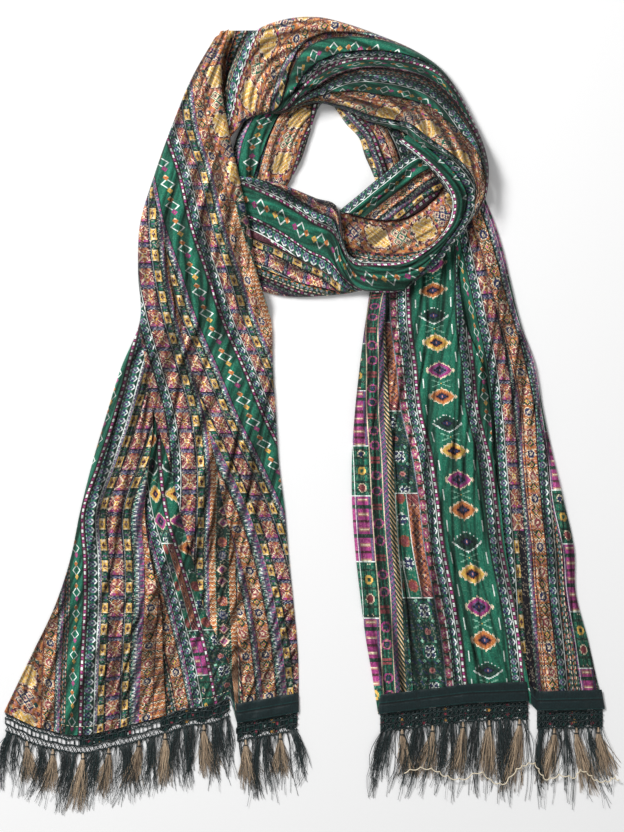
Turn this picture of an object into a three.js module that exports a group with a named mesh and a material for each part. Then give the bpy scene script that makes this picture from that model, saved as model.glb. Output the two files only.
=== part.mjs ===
// Dupatta laid flat: one long printed cloth, wound once into a neck loop, with two fringed tails.
// Millimetres, +Z up. The cloth rests on z = 0 and is seen from above, tails towards -Y.
//
// Plan tables use the layout frame of the spread-out cloth: x to the right and y down the tails,
// both in millimetres from the layout's upper left corner. toRow() turns that into the row frame.
import * as THREE from 'three';

const CENTRE_X = 304.404;
const CENTRE_Y = 414.373;

const LAYER_GAP = 0.4;
const PIECE_GAP = 0.35;
const SURFACE_GAP = 0.3;
const EDGE_LEDGE = 2.2;
const EDGE_ROLL = 7;
const FOLD_WIDTH = 1.4;
const DRAPE_CELL = 2;
const DRAPE_REACH = 9;
const DRAPE_SLOPE = 0.5;
const LAYOUT_WIDTH = 640;
const LAYOUT_HEIGHT = 840;
const SMOOTHING_PASSES = 3;
const THINNEST_CLOTH = 1.6;

// Shares of the heap's thickness at the cloth's rim, at the inner side of its ledge and at its shoulder.
const EDGE_SHARES = { rim: 0.42, ledge: 0.46, shoulder: 0.78 };
const SHOULDER_REACH = 1.25;
const FIRST_PLEAT_REACH = 0.9;
const SOFT_PLEAT_SHARE = 0.3;
const END_THICKNESS_SHARE = 0.55;
const END_FADE_ROWS = 3;

const BRAID_THICKNESS = 1.6;

const HEM_GAP = 0.7;
const NET_THICKNESS = 2.2;
const NET_ROWS = [0, 4, 10, 17];
const NET_CELL = 4.3;
const LOCK_MIDDLE_WIDTH = 2.5;
const LOCK_LIFT = 0.5;
const LOCK_MIDDLE = { reach: 0.5, lean: 0.4, height: 0.8 };
const LOCK_TIP_HEIGHT = 0.3;
const LOCK_BOW = 0.6;
const LOCK_WAVE = 2.6;
const LOCK_WAVE_LENGTH = 15;
const LOCK_LENGTH_VARIATION = 0.12;
const LOCK_RHYTHMS = [
  { rate: 2.4, start: 0, weight: 0.6 },
  { rate: 5.1, start: 1, weight: 0.4 },
];
const GOLD_SHORTER_OUTWARD = 0.05;
const GOLD_LENGTH_VARIATION = 0.04;
const GOLD_BOW = 0.8;
const GOLD_HEAD_WIDTH = 7;
const GOLD_HEAD_ROWS = [0, 8];
const GOLD_THICKNESS = 2.8;
const GOLD_LOCKS = 5;
const GOLD_MIDDLE_WIDTH = 1.5;
const GOLD_SPREAD = 2.4;
const GOLD_CELLS = 4;

const COLOURS = {
  print: 0x3b4f45,
  crownPrint: 0x5d4a42,
  shadedPrint: 0x2c3436,
  braid: 0x0f3330,
  goldThread: 0xa3865c,
};

// A station is a line across the cloth, from its a edge to its b edge, with the heap's thickness there.
// A fold is a line along the cloth. It crosses the cloth at the given fractions of its width, at the
// start, one third, two thirds and the end of the stretch. The side named in upper lies on the other.
const BACK_WRAP = {
  name: 'back_wrap',
  colour: 'shadedPrint',
  rows: 24,
  underColumns: 3,
  stations: [
    { ax: 236, ay: 206, bx: 272, by: 208, thick: 6 },
    { ax: 231, ay: 182, bx: 288, by: 184, thick: 8 },
    { ax: 232, ay: 158, bx: 301, by: 160, thick: 9 },
    { ax: 238, ay: 134, bx: 309, by: 136, thick: 9 },
    { ax: 256, ay: 104, bx: 316, by: 114, thick: 9 },
    { ax: 292, ay: 74, bx: 322, by: 104, thick: 8 },
    { ax: 334, ay: 66, bx: 331, by: 103, thick: 8 },
    { ax: 372, ay: 74, bx: 337, by: 111, thick: 8 },
    { ax: 394, ay: 96, bx: 347, by: 125, thick: 9 },
    { ax: 410, ay: 118, bx: 359, by: 138, thick: 9 },
    { ax: 424, ay: 144, bx: 365, by: 156, thick: 9 },
    { ax: 430, ay: 170, bx: 372, by: 172, thick: 8 },
    { ax: 428, ay: 192, bx: 380, by: 192, thick: 6 },
  ],
  folds: [
    { start: 0.25, early: 0.3, late: 0.35, end: 0.3, step: 2.5, upper: 'a' },
    { start: 0.5, early: 0.55, late: 0.55, end: 0.5, step: 3, upper: 'b' },
    { start: 0.75, early: 0.8, late: 0.76, end: 0.75, step: 2.5, upper: 'b' },
  ],
};

const RIGHT_TAIL = {
  name: 'right_tail',
  colour: 'print',
  softPleats: true,
  rows: 28,
  underColumns: 3,
  stations: [
    { ax: 396, ay: 244, bx: 478, by: 180, thick: 5 },
    { ax: 374, ay: 276, bx: 500, by: 240, thick: 6 },
    { ax: 366, ay: 318, bx: 519, by: 318, thick: 6.5 },
    { ax: 360, ay: 364, bx: 535, by: 364, thick: 6 },
    { ax: 355, ay: 410, bx: 543, by: 410, thick: 6 },
    { ax: 352, ay: 456, bx: 553, by: 456, thick: 5.5 },
    { ax: 352, ay: 502, bx: 564, by: 502, thick: 5.5 },
    { ax: 355, ay: 548, bx: 574, by: 548, thick: 5 },
    { ax: 360, ay: 594, bx: 576, by: 594, thick: 5 },
    { ax: 366, ay: 640, bx: 588, by: 640, thick: 4.5 },
    { ax: 373, ay: 680, bx: 597, by: 680, thick: 4 },
    { ax: 378, ay: 714, bx: 605, by: 709, thick: 3.5 },
  ],
  folds: [
    { start: 0.05, early: 0.08, late: 0.07, end: 0.06, step: 2, upper: 'b' },
    { start: 0.13, early: 0.17, late: 0.17, end: 0.15, step: 3, upper: 'b' },
    { start: 0.25, early: 0.27, late: 0.35, end: 0.37, step: 3, upper: 'b' },
    { start: 0.5, early: 0.52, late: 0.62, end: 0.66, step: 4, upper: 'a' },
    { start: 0.58, early: 0.6, late: 0.69, end: 0.73, step: 3.5, upper: 'b' },
    { start: 0.68, early: 0.68, late: 0.76, end: 0.8, step: 3, upper: 'a' },
    { start: 0.78, early: 0.78, late: 0.83, end: 0.86, step: 3, upper: 'b' },
    { start: 0.87, early: 0.87, late: 0.895, end: 0.92, step: 3.5, upper: 'a' },
  ],
  hem: [
    { across: 0, drop: 0 },
    { across: 0.4, drop: -9 },
    { across: 0.66, drop: -10 },
    { across: 0.7, drop: 0 },
    { across: 1, drop: 0 },
  ],
};

const TURN_FOLD = {
  name: 'turn_fold',
  colour: 'shadedPrint',
  rows: 8,
  underColumns: 3,
  stations: [
    { ax: 219, ay: 35, bx: 258, by: 33, thick: 6 },
    { ax: 208, ay: 62, bx: 249, by: 58, thick: 8 },
    { ax: 208, ay: 88, bx: 243, by: 86, thick: 8 },
    { ax: 214, ay: 112, bx: 236, by: 112, thick: 6 },
  ],
  folds: [
    { start: 0.45, early: 0.5, late: 0.55, end: 0.5, step: 3, upper: 'a' },
  ],
};

const INNER_TURN = {
  name: 'inner_turn',
  colour: 'print',
  rows: 12,
  underColumns: 9,
  stations: [
    { ax: 340, ay: 210, bx: 346, by: 264, thick: 7 },
    { ax: 356, ay: 197, bx: 372, by: 271, thick: 9 },
    { ax: 374, ay: 182, bx: 404, by: 269, thick: 10 },
    { ax: 390, ay: 169, bx: 430, by: 254, thick: 10 },
    { ax: 404, ay: 157, bx: 449, by: 228, thick: 9 },
    { ax: 415, ay: 151, bx: 456, by: 204, thick: 7 },
  ],
  folds: [
    { start: 0.2, early: 0.24, late: 0.26, end: 0.3, step: 3, upper: 'a' },
    { start: 0.4, early: 0.46, late: 0.5, end: 0.54, step: 4, upper: 'a' },
    { start: 0.6, early: 0.62, late: 0.64, end: 0.7, step: 3, upper: 'b' },
  ],
};

const FRONT_WRAP = {
  name: 'front_wrap',
  colour: 'print',
  rows: 34,
  underColumns: 9,
  stations: [
    { ax: 398, ay: 142, bx: 424, by: 124, thick: 5 },
    { ax: 420, ay: 160, bx: 456, by: 150, thick: 6 },
    { ax: 440, ay: 180, bx: 479, by: 173, thick: 7 },
    { ax: 451, ay: 200, bx: 485, by: 193, thick: 8 },
    { ax: 449, ay: 222, bx: 473, by: 217, thick: 9 },
    { ax: 437, ay: 240, bx: 458, by: 237, thick: 9 },
    { ax: 420, ay: 253, bx: 441, by: 260, thick: 9 },
    { ax: 404, ay: 261, bx: 421, by: 277, thick: 9 },
    { ax: 386, ay: 263, bx: 401, by: 291, thick: 9 },
    { ax: 366, ay: 261, bx: 380, by: 293, thick: 9 },
    { ax: 350, ay: 256, bx: 362, by: 291, thick: 9 },
    { ax: 342, ay: 236, bx: 346, by: 294, thick: 10 },
    { ax: 336, ay: 206, bx: 322, by: 296, thick: 10 },
    { ax: 316, ay: 198, bx: 297, by: 297, thick: 10 },
    { ax: 288, ay: 187, bx: 272, by: 294, thick: 9 },
    { ax: 262, ay: 180, bx: 254, by: 286, thick: 8 },
    { ax: 238, ay: 176, bx: 236, by: 262, thick: 6 },
  ],
  folds: [
    { start: 0.25, early: 0.28, late: 0.25, end: 0.2, step: 2.5, upper: 'a' },
    { start: 0.5, early: 0.55, late: 0.62, end: 0.48, step: 3, upper: 'a' },
    { start: 0.7, early: 0.75, late: 0.78, end: 0.66, step: 3.5, upper: 'a' },
    { start: 0.86, early: 0.88, late: 0.9, end: 0.84, step: 3, upper: 'a' },
  ],
};

const CROWN = {
  name: 'crown',
  colour: 'crownPrint',
  rows: 33,
  underColumns: 10,
  stations: [
    { ax: 216, ay: 128, bx: 228, by: 141, thick: 5 },
    { ax: 223, ay: 101, bx: 246, by: 121, thick: 8 },
    { ax: 229, ay: 73, bx: 264, by: 115, thick: 10 },
    { ax: 241, ay: 48, bx: 284, by: 114, thick: 12 },
    { ax: 259, ay: 29, bx: 301, by: 107, thick: 13 },
    { ax: 286, ay: 19, bx: 314, by: 104, thick: 14 },
    { ax: 318, ay: 17, bx: 325, by: 105, thick: 14 },
    { ax: 351, ay: 25, bx: 335, by: 108, thick: 14 },
    { ax: 384, ay: 37, bx: 348, by: 112, thick: 14 },
    { ax: 412, ay: 49, bx: 368, by: 122, thick: 14 },
    { ax: 438, ay: 66, bx: 388, by: 128, thick: 14 },
    { ax: 456, ay: 88, bx: 402, by: 132, thick: 13 },
    { ax: 470, ay: 114, bx: 415, by: 142, thick: 13 },
    { ax: 482, ay: 140, bx: 430, by: 150, thick: 12 },
    { ax: 488, ay: 163, bx: 447, by: 158, thick: 11 },
    { ax: 488, ay: 184, bx: 462, by: 168, thick: 9 },
    { ax: 484, ay: 202, bx: 472, by: 180, thick: 7 },
    { ax: 474, ay: 219, bx: 474, by: 196, thick: 5 },
  ],
  folds: [
    { start: 0.3, early: 0.03, late: 0.015, end: 0.08, step: 4, upper: 'a' },
    { start: 0.45, early: 0.36, late: 0.06, end: 0.16, step: 4, upper: 'b' },
    { start: 0.58, early: 0.56, late: 0.16, end: 0.25, step: 3.5, upper: 'b' },
    { start: 0.68, early: 0.7, late: 0.28, end: 0.35, step: 3, upper: 'a' },
    { start: 0.77, early: 0.8, late: 0.42, end: 0.46, step: 3.5, upper: 'b' },
    { start: 0.85, early: 0.88, late: 0.6, end: 0.6, step: 4, upper: 'b' },
    { start: 0.92, early: 0.94, late: 0.82, end: 0.8, step: 4, upper: 'a' },
  ],
};

const LEFT_TAIL = {
  name: 'left_tail',
  colour: 'print',
  softPleats: true,
  rows: 35,
  underColumns: 10,
  stations: [
    { ax: 215, ay: 38, bx: 229, by: 30, thick: 6 },
    { ax: 191, ay: 80, bx: 221, by: 76, thick: 8 },
    { ax: 171, ay: 128, bx: 228, by: 126, thick: 8 },
    { ax: 154, ay: 176, bx: 239, by: 176, thick: 8 },
    { ax: 140, ay: 224, bx: 249, by: 224, thick: 8 },
    { ax: 138, ay: 272, bx: 257, by: 272, thick: 8 },
    { ax: 140, ay: 320, bx: 271, by: 320, thick: 7.5 },
    { ax: 121, ay: 368, bx: 273, by: 368, thick: 7 },
    { ax: 106, ay: 416, bx: 276, by: 416, thick: 6.5 },
    { ax: 92, ay: 464, bx: 279, by: 464, thick: 6 },
    { ax: 80, ay: 512, bx: 285, by: 512, thick: 5.5 },
    { ax: 70, ay: 560, bx: 289, by: 560, thick: 5 },
    { ax: 54, ay: 608, bx: 294, by: 608, thick: 4.5 },
    { ax: 31, ay: 656, bx: 298, by: 656, thick: 4 },
    { ax: 4, ay: 712, bx: 299, by: 712, thick: 3.5 },
  ],
  folds: [
    { start: 0.1, early: 0.05, late: 0.1, end: 0.2, step: 2, upper: 'b' },
    { start: 0.2, early: 0.1, late: 0.23, end: 0.38, step: 3, upper: 'a' },
    { start: 0.28, early: 0.15, late: 0.3, end: 0.51, step: 4, upper: 'a' },
    { start: 0.36, early: 0.2, late: 0.45, end: 0.77, step: 4.5, upper: 'b' },
    { start: 0.44, early: 0.28, late: 0.6, end: 0.86, step: 3.5, upper: 'a' },
    { start: 0.54, early: 0.38, late: 0.8, end: 0.93, step: 3, upper: 'b' },
    { start: 0.66, early: 0.62, late: 0.91, end: 0.96, step: 3, upper: 'a' },
    { start: 0.8, early: 0.84, late: 0.965, end: 0.985, step: 3.5, upper: 'b' },
  ],
  hem: [
    { across: 0, drop: 0 },
    { across: 0.1, drop: 14 },
    { across: 0.22, drop: 23 },
    { across: 0.28, drop: 23 },
    { across: 0.4, drop: 15 },
    { across: 0.54, drop: 4 },
    { across: 0.62, drop: -4 },
    { across: 0.7, drop: -6 },
    { across: 0.765, drop: -14 },
    { across: 0.79, drop: 11 },
    { across: 1, drop: 0 },
  ],
};

const HEM_BLEND_START = 0.84;

// A braid lies on the last row of a tail's cloth, between two fractions of its width.
const BRAIDS = [
  { name: 'hem_braid_left', tail: 'left_tail', from: 0.78, to: 1 },
  { name: 'hem_braid_right_inner', tail: 'right_tail', from: 0, to: 0.668 },
  { name: 'hem_braid_right_outer', tail: 'right_tail', from: 0.668, to: 1 },
];

// A net follows the hem between two fractions of its width. Every second cell of an open net is a gap.
// Its locks hang from the lower cord, and lean sideways by the given share of their length.
const NETS = [
  {
    name: 'net_left_outer', tail: 'left_tail', from: 0.005, to: 0.765, open: true,
    reach: 56, farReach: 62, leanStart: -0.2, leanEnd: 0.05,
  },
  {
    name: 'net_left_inner', tail: 'left_tail', from: 0.79, to: 0.995, open: true,
    reach: 64, farReach: 56, leanStart: 0, leanEnd: 0.16,
  },
  {
    name: 'net_right_inner', tail: 'right_tail', from: 0.01, to: 0.662, open: false,
    reach: 62, farReach: 82, leanStart: -0.2, leanEnd: 0,
  },
  {
    name: 'net_right_outer', tail: 'right_tail', from: 0.7, to: 0.99, open: false,
    reach: 76, farReach: 70, leanStart: 0, leanEnd: 0.1,
  },
];

// Gold tassels, each tied under a net at a fraction of that net's length.
const GOLD_TASSELS = [
  { net: 'net_left_outer', at: 0.1, length: 40 },
  { net: 'net_left_outer', at: 0.22, length: 40 },
  { net: 'net_left_outer', at: 0.35, length: 52 },
  { net: 'net_left_outer', at: 0.47, length: 44 },
  { net: 'net_left_outer', at: 0.59, length: 44 },
  { net: 'net_left_outer', at: 0.72, length: 46 },
  { net: 'net_left_outer', at: 0.88, length: 52 },
  { net: 'net_left_inner', at: 0.16, length: 50 },
  { net: 'net_left_inner', at: 0.7, length: 42 },
  { net: 'net_right_inner', at: 0.16, length: 40 },
  { net: 'net_right_inner', at: 0.34, length: 46 },
  { net: 'net_right_inner', at: 0.57, length: 48 },
  { net: 'net_right_inner', at: 0.74, length: 60 },
  { net: 'net_right_inner', at: 0.95, length: 66 },
  { net: 'net_right_outer', at: 0.24, length: 52 },
  { net: 'net_right_outer', at: 0.6, length: 58 },
  { net: 'net_right_outer', at: 0.9, length: 44 },
];

function toRow(x, y) {
  return [x - CENTRE_X, CENTRE_Y - y];
}

function smoothStep(value) {
  const v = Math.min(Math.max(value, 0), 1);
  return v * v * (3 - 2 * v);
}

function mix(a, b, amount) {
  return a + (b - a) * amount;
}

// Smooth curve through evenly spaced values, read at a place counted in values.
function curveThrough(values, place) {
  const last = values.length - 1;
  const index = Math.min(Math.floor(place), last - 1);
  const f = place - index;
  const p1 = values[index];
  const p2 = values[index + 1];
  const p0 = index > 0 ? values[index - 1] : 2 * p1 - p2;
  const p3 = index + 2 <= last ? values[index + 2] : 2 * p2 - p1;
  const slope1 = (p2 - p0) / 2;
  const slope2 = (p3 - p1) / 2;
  const f2 = f * f;
  const f3 = f2 * f;
  return (2 * f3 - 3 * f2 + 1) * p1 + (f3 - 2 * f2 + f) * slope1 + (3 * f2 - 2 * f3) * p2 + (f3 - f2) * slope2;
}

function stationAt(stretch, along) {
  const place = along * (stretch.stations.length - 1);
  const read = (column) => curveThrough(stretch.stations.map((row) => row[column]), place);
  return { ax: read('ax'), ay: read('ay'), bx: read('bx'), by: read('by'), thick: read('thick') };
}

function hemDrop(stretch, across) {
  const rows = stretch.hem;
  if (!rows) {
    return 0;
  }
  const next = rows.findIndex((row) => row.across >= across);
  if (next <= 0) {
    return rows[0].drop;
  }
  const low = rows[next - 1];
  const high = rows[next];
  return mix(low.drop, high.drop, (across - low.across) / (high.across - low.across));
}

function planPoint(stretch, along, across) {
  const line = stationAt(stretch, along);
  const pull = smoothStep((along - HEM_BLEND_START) / (1 - HEM_BLEND_START));
  return [
    mix(line.ax, line.bx, across),
    mix(line.ay, line.by, across) + hemDrop(stretch, across) * pull,
  ];
}

function foldPlaces(stretch, along, width) {
  const least = (FOLD_WIDTH + 1) / width;
  let previous = EDGE_ROLL / width;
  return stretch.folds.map((fold) => {
    const wanted = curveThrough([fold.start, fold.early, fold.late, fold.end], along * 3);
    const place = Math.max(wanted, previous + least);
    previous = place;
    return place;
  });
}

// Columns across one row: fraction of the width and height as a share of the heap, plus the fold relief.
function crossSection(stretch, along) {
  const line = stationAt(stretch, along);
  const width = Math.hypot(line.bx - line.ax, line.by - line.ay);
  const ledge = EDGE_LEDGE / width;
  const roll = EDGE_ROLL / width;
  const half = FOLD_WIDTH / width / 2;
  const places = foldPlaces(stretch, along, width);
  const room = 1 - roll - half;
  const limit = places.length ? Math.max(places[places.length - 1] + half, room) : 1;
  const squeeze = (place) => place * room / limit;
  const shoulder = ledge * SHOULDER_REACH;
  const columns = [
    { across: 0, share: EDGE_SHARES.rim, relief: 0 },
    { across: ledge, share: EDGE_SHARES.ledge, relief: 0 },
    { across: shoulder, share: EDGE_SHARES.shoulder, relief: 0 },
  ];
  const ridge = (fold) => fold.step / 2;
  let from = roll * FIRST_PLEAT_REACH;
  places.forEach((place, index) => {
    const fold = stretch.folds[index];
    const at = squeeze(place);
    const sign = fold.upper === 'a' ? 1 : -1;
    const before = index > 0 ? stretch.folds[index - 1] : null;
    const beforeLift = before ? (before.upper === 'b' ? ridge(before) : -ridge(before)) : 0;
    const lift = sign * ridge(fold);
    if (stretch.softPleats) {
      columns.push({ across: (from + at - half) / 2, share: 1, relief: (beforeLift + lift) * SOFT_PLEAT_SHARE });
    }
    columns.push({ across: at - half, share: 1, relief: lift });
    columns.push({ across: at + half, share: 1, relief: -lift });
    from = at + half;
  });
  columns.push({ across: (from + 1 - shoulder) / 2, share: 1, relief: 0 });
  columns.push({ across: 1 - shoulder, share: EDGE_SHARES.shoulder, relief: 0 });
  columns.push({ across: 1 - ledge, share: EDGE_SHARES.ledge, relief: 0 });
  columns.push({ across: 1, share: EDGE_SHARES.rim, relief: 0 });
  return { columns, thick: line.thick };
}

// Heights of everything laid so far, on a square grid in the layout frame.
class Table {
  constructor() {
    this.columns = Math.ceil(LAYOUT_WIDTH / DRAPE_CELL);
    this.rows = Math.ceil(LAYOUT_HEIGHT / DRAPE_CELL);
    this.top = new Float64Array(this.columns * this.rows);
    this.rest = this.top;
  }

  cover(points, triangles) {
    for (const [a, b, c] of triangles) {
      this.coverTriangle(points[a], points[b], points[c]);
    }
  }

  coverTriangle(p, q, r) {
    const area = (q[0] - p[0]) * (r[1] - p[1]) - (q[1] - p[1]) * (r[0] - p[0]);
    const firstX = Math.max(0, Math.floor(Math.min(p[0], q[0], r[0]) / DRAPE_CELL));
    const lastX = Math.min(this.columns - 1, Math.ceil(Math.max(p[0], q[0], r[0]) / DRAPE_CELL));
    const firstY = Math.max(0, Math.floor(Math.min(p[1], q[1], r[1]) / DRAPE_CELL));
    const lastY = Math.min(this.rows - 1, Math.ceil(Math.max(p[1], q[1], r[1]) / DRAPE_CELL));
    for (let j = firstY; j <= lastY; j += 1) {
      for (let i = firstX; i <= lastX; i += 1) {
        const x = i * DRAPE_CELL;
        const y = j * DRAPE_CELL;
        const u = ((x - p[0]) * (r[1] - p[1]) - (y - p[1]) * (r[0] - p[0])) / area;
        const v = ((q[0] - p[0]) * (y - p[1]) - (q[1] - p[1]) * (x - p[0])) / area;
        if (u >= 0 && v >= 0 && u + v <= 1) {
          const cell = j * this.columns + i;
          const height = p[2] + u * (q[2] - p[2]) + v * (r[2] - p[2]);
          this.top[cell] = Math.max(this.top[cell], height);
        }
      }
    }
  }

  // Lays a skin over all that is there: it clears every height within reach and then falls at a slope.
  settle() {
    const reach = Math.ceil(DRAPE_REACH / DRAPE_CELL);
    const wide = new Float64Array(this.top.length);
    for (let j = 0; j < this.rows; j += 1) {
      for (let i = 0; i < this.columns; i += 1) {
        wide[j * this.columns + i] = this.highestNear(i, j, reach);
      }
    }
    const fall = DRAPE_SLOPE * DRAPE_CELL;
    this.sweep(wide, fall, 1);
    this.sweep(wide, fall, -1);
    this.rest = wide;
  }

  highestNear(i, j, reach) {
    let highest = 0;
    for (let dj = -reach; dj <= reach; dj += 1) {
      for (let di = -reach; di <= reach; di += 1) {
        const x = i + di;
        const y = j + dj;
        const inside = x >= 0 && y >= 0 && x < this.columns && y < this.rows;
        if (inside && di * di + dj * dj <= reach * reach) {
          highest = Math.max(highest, this.top[y * this.columns + x]);
        }
      }
    }
    return highest;
  }

  sweep(heights, fall, way) {
    const count = this.columns * this.rows;
    for (let step = 0; step < count; step += 1) {
      const cell = way > 0 ? step : count - 1 - step;
      const beside = cell - way;
      const behind = cell - way * this.columns;
      for (const other of [beside, behind]) {
        if (other >= 0 && other < count) {
          heights[cell] = Math.max(heights[cell], heights[other] - fall);
        }
      }
    }
  }

  restAt(x, y) {
    const i = Math.min(Math.max(x / DRAPE_CELL, 0), this.columns - 2);
    const j = Math.min(Math.max(y / DRAPE_CELL, 0), this.rows - 2);
    const i0 = Math.floor(i);
    const j0 = Math.floor(j);
    const cell = j0 * this.columns + i0;
    const upper = mix(this.rest[cell], this.rest[cell + 1], i - i0);
    const lower = mix(this.rest[cell + this.columns], this.rest[cell + this.columns + 1], i - i0);
    const height = mix(upper, lower, j - j0);
    return height > 0 ? height + LAYER_GAP : 0;
  }
}

function smoothGrid(grid, floor) {
  const rows = grid.length;
  const columns = grid[0].length;
  let current = grid;
  for (let pass = 0; pass < SMOOTHING_PASSES; pass += 1) {
    current = current.map((row, r) => row.map((height, c) => {
      const before = current[Math.max(r - 1, 0)][c];
      const after = current[Math.min(r + 1, rows - 1)][c];
      const left = row[Math.max(c - 1, 0)];
      const right = row[Math.min(c + 1, columns - 1)];
      return Math.max((height * 2 + before + after + left + right) / 6, floor[r][c]);
    }));
  }
  return current;
}

// The upper skin of a stretch as rows of points.
function upperSkin(stretch, table) {
  const rows = [];
  const rests = [];
  for (let r = 0; r < stretch.rows; r += 1) {
    const along = r / (stretch.rows - 1);
    const section = crossSection(stretch, along);
    const fromEnd = Math.min(along, 1 - along) * stretch.rows;
    const endFade = mix(END_THICKNESS_SHARE, 1, smoothStep(fromEnd / END_FADE_ROWS));
    rows.push(section.columns.map((column) => {
      const [x, y] = planPoint(stretch, along, column.across);
      const heap = section.thick * column.share * endFade;
      return { x, y, rest: table.restAt(x, y), heap: Math.max(heap + column.relief * endFade, THINNEST_CLOTH) };
    }));
    rests.push(rows[r].map((point) => point.rest));
  }
  const lifted = smoothGrid(rests, rests);
  return rows.map((row, r) => row.map((point, c) => [point.x, point.y, lifted[r][c] + point.heap]));
}

// The skin that the stretch rests on: a few columns, but as many as the upper skin has at both ends.
function underSkin(stretch, table, upper) {
  return upper.map((row, r) => {
    if (r === 0 || r === upper.length - 1) {
      return row.map(([x, y]) => [x, y, table.restAt(x, y)]);
    }
    const along = r / (upper.length - 1);
    return Array.from({ length: stretch.underColumns }, (unused, c) => {
      const [x, y] = planPoint(stretch, along, c / (stretch.underColumns - 1));
      return [x, y, table.restAt(x, y)];
    });
  });
}

// A closed body gathered from points in the layout frame and triangles between them.
class Body {
  constructor() {
    this.points = [];
    this.triangles = [];
  }

  addRow(row) {
    const first = this.points.length;
    this.points.push(...row);
    return row.map((point, index) => first + index);
  }

  quad(a, b, c, d) {
    this.triangles.push([a, b, c], [a, c, d]);
  }

  // Joins two chains of points whose counts may differ, keeping pace along their length.
  stitch(upper, lower) {
    let i = 0;
    let j = 0;
    while (i < upper.length - 1 || j < lower.length - 1) {
      const upperNext = (i + 1) / (upper.length - 1);
      const lowerNext = (j + 1) / (lower.length - 1);
      if (j === lower.length - 1 || (i < upper.length - 1 && upperNext <= lowerNext)) {
        this.triangles.push([upper[i], lower[j], upper[i + 1]]);
        i += 1;
      } else {
        this.triangles.push([upper[i], lower[j], lower[j + 1]]);
        j += 1;
      }
    }
  }

  // Six times the volume, negative where the faces point inwards.
  signedVolume(points) {
    return this.triangles.reduce((sum, [a, b, c]) => {
      const [p, q, r] = [points[a], points[b], points[c]];
      const cross = [q[1] * r[2] - q[2] * r[1], q[2] * r[0] - q[0] * r[2], q[0] * r[1] - q[1] * r[0]];
      return sum + p[0] * cross[0] + p[1] * cross[1] + p[2] * cross[2];
    }, 0);
  }

  toMesh(name, colour) {
    const points = this.points.map(([x, y, z]) => [...toRow(x, y), z]);
    const outward = this.signedVolume(points) > 0;
    const positions = [];
    for (const [a, b, c] of this.triangles) {
      const order = outward ? [a, b, c] : [a, c, b];
      order.forEach((index) => positions.push(...points[index]));
    }
    const geometry = new THREE.BufferGeometry();
    geometry.setAttribute('position', new THREE.Float32BufferAttribute(positions, 3));
    geometry.computeVertexNormals();
    const material = new THREE.MeshStandardMaterial({ color: COLOURS[colour], roughness: 0.8, metalness: 0 });
    const mesh = new THREE.Mesh(geometry, material);
    mesh.name = name;
    return mesh;
  }
}

function slab(upperRows, lowerRows) {
  const body = new Body();
  const upper = upperRows.map((row) => body.addRow(row));
  const lower = lowerRows.map((row) => body.addRow(row));
  const lastRow = upper.length - 1;
  for (let r = 0; r < lastRow; r += 1) {
    for (let c = 0; c < upper[0].length - 1; c += 1) {
      body.quad(upper[r][c], upper[r + 1][c], upper[r + 1][c + 1], upper[r][c + 1]);
    }
    body.stitch(lower[r + 1], lower[r]);
    const up = upper[r].length - 1;
    body.quad(upper[r][0], lower[r][0], lower[r + 1][0], upper[r + 1][0]);
    body.quad(upper[r][up], upper[r + 1][up], lower[r + 1].at(-1), lower[r].at(-1));
  }
  body.stitch([...upper[0]].reverse(), [...lower[0]].reverse());
  body.stitch(upper[lastRow], lower[lastRow]);
  return body;
}

// Lays a stretch on the table. Its upper skin is kept for what is sewn on it.
function layCloth(stretch, table) {
  table.settle();
  const skin = upperSkin(stretch, table);
  const body = slab(skin, underSkin(stretch, table, skin));
  table.cover(body.points, body.triangles);
  return { skin, body };
}

// A braid is the cloth's own last row of points, moved up twice.
function braidBody(braid, skin) {
  const lastRow = skin.length - 1;
  const hem = skin[lastRow];
  const width = hem.at(-1)[0] - hem[0][0];
  const chosen = (point, index) => {
    const across = (hem[index][0] - hem[0][0]) / width;
    return across >= braid.from && across <= braid.to;
  };
  const lift = (row, height) => row.filter(chosen).map(([x, y, z]) => [x, y, z + height]);
  const rows = [skin[lastRow - 1], hem];
  const lower = rows.map((row) => lift(row, SURFACE_GAP));
  const upper = rows.map((row) => lift(row, SURFACE_GAP + BRAID_THICKNESS));
  return slab(upper, lower);
}

// The point of a polyline, ordered by x, at the given x.
function pointAbove(line, x) {
  const next = Math.max(line.findIndex((point) => point[0] >= x), 1);
  const low = line[next - 1];
  const high = line[next];
  return [x, mix(low[1], high[1], (x - low[0]) / (high[0] - low[0]))];
}

function pointOnHem(hem, across) {
  return pointAbove(hem, mix(hem[0][0], hem.at(-1)[0], across));
}

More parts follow.
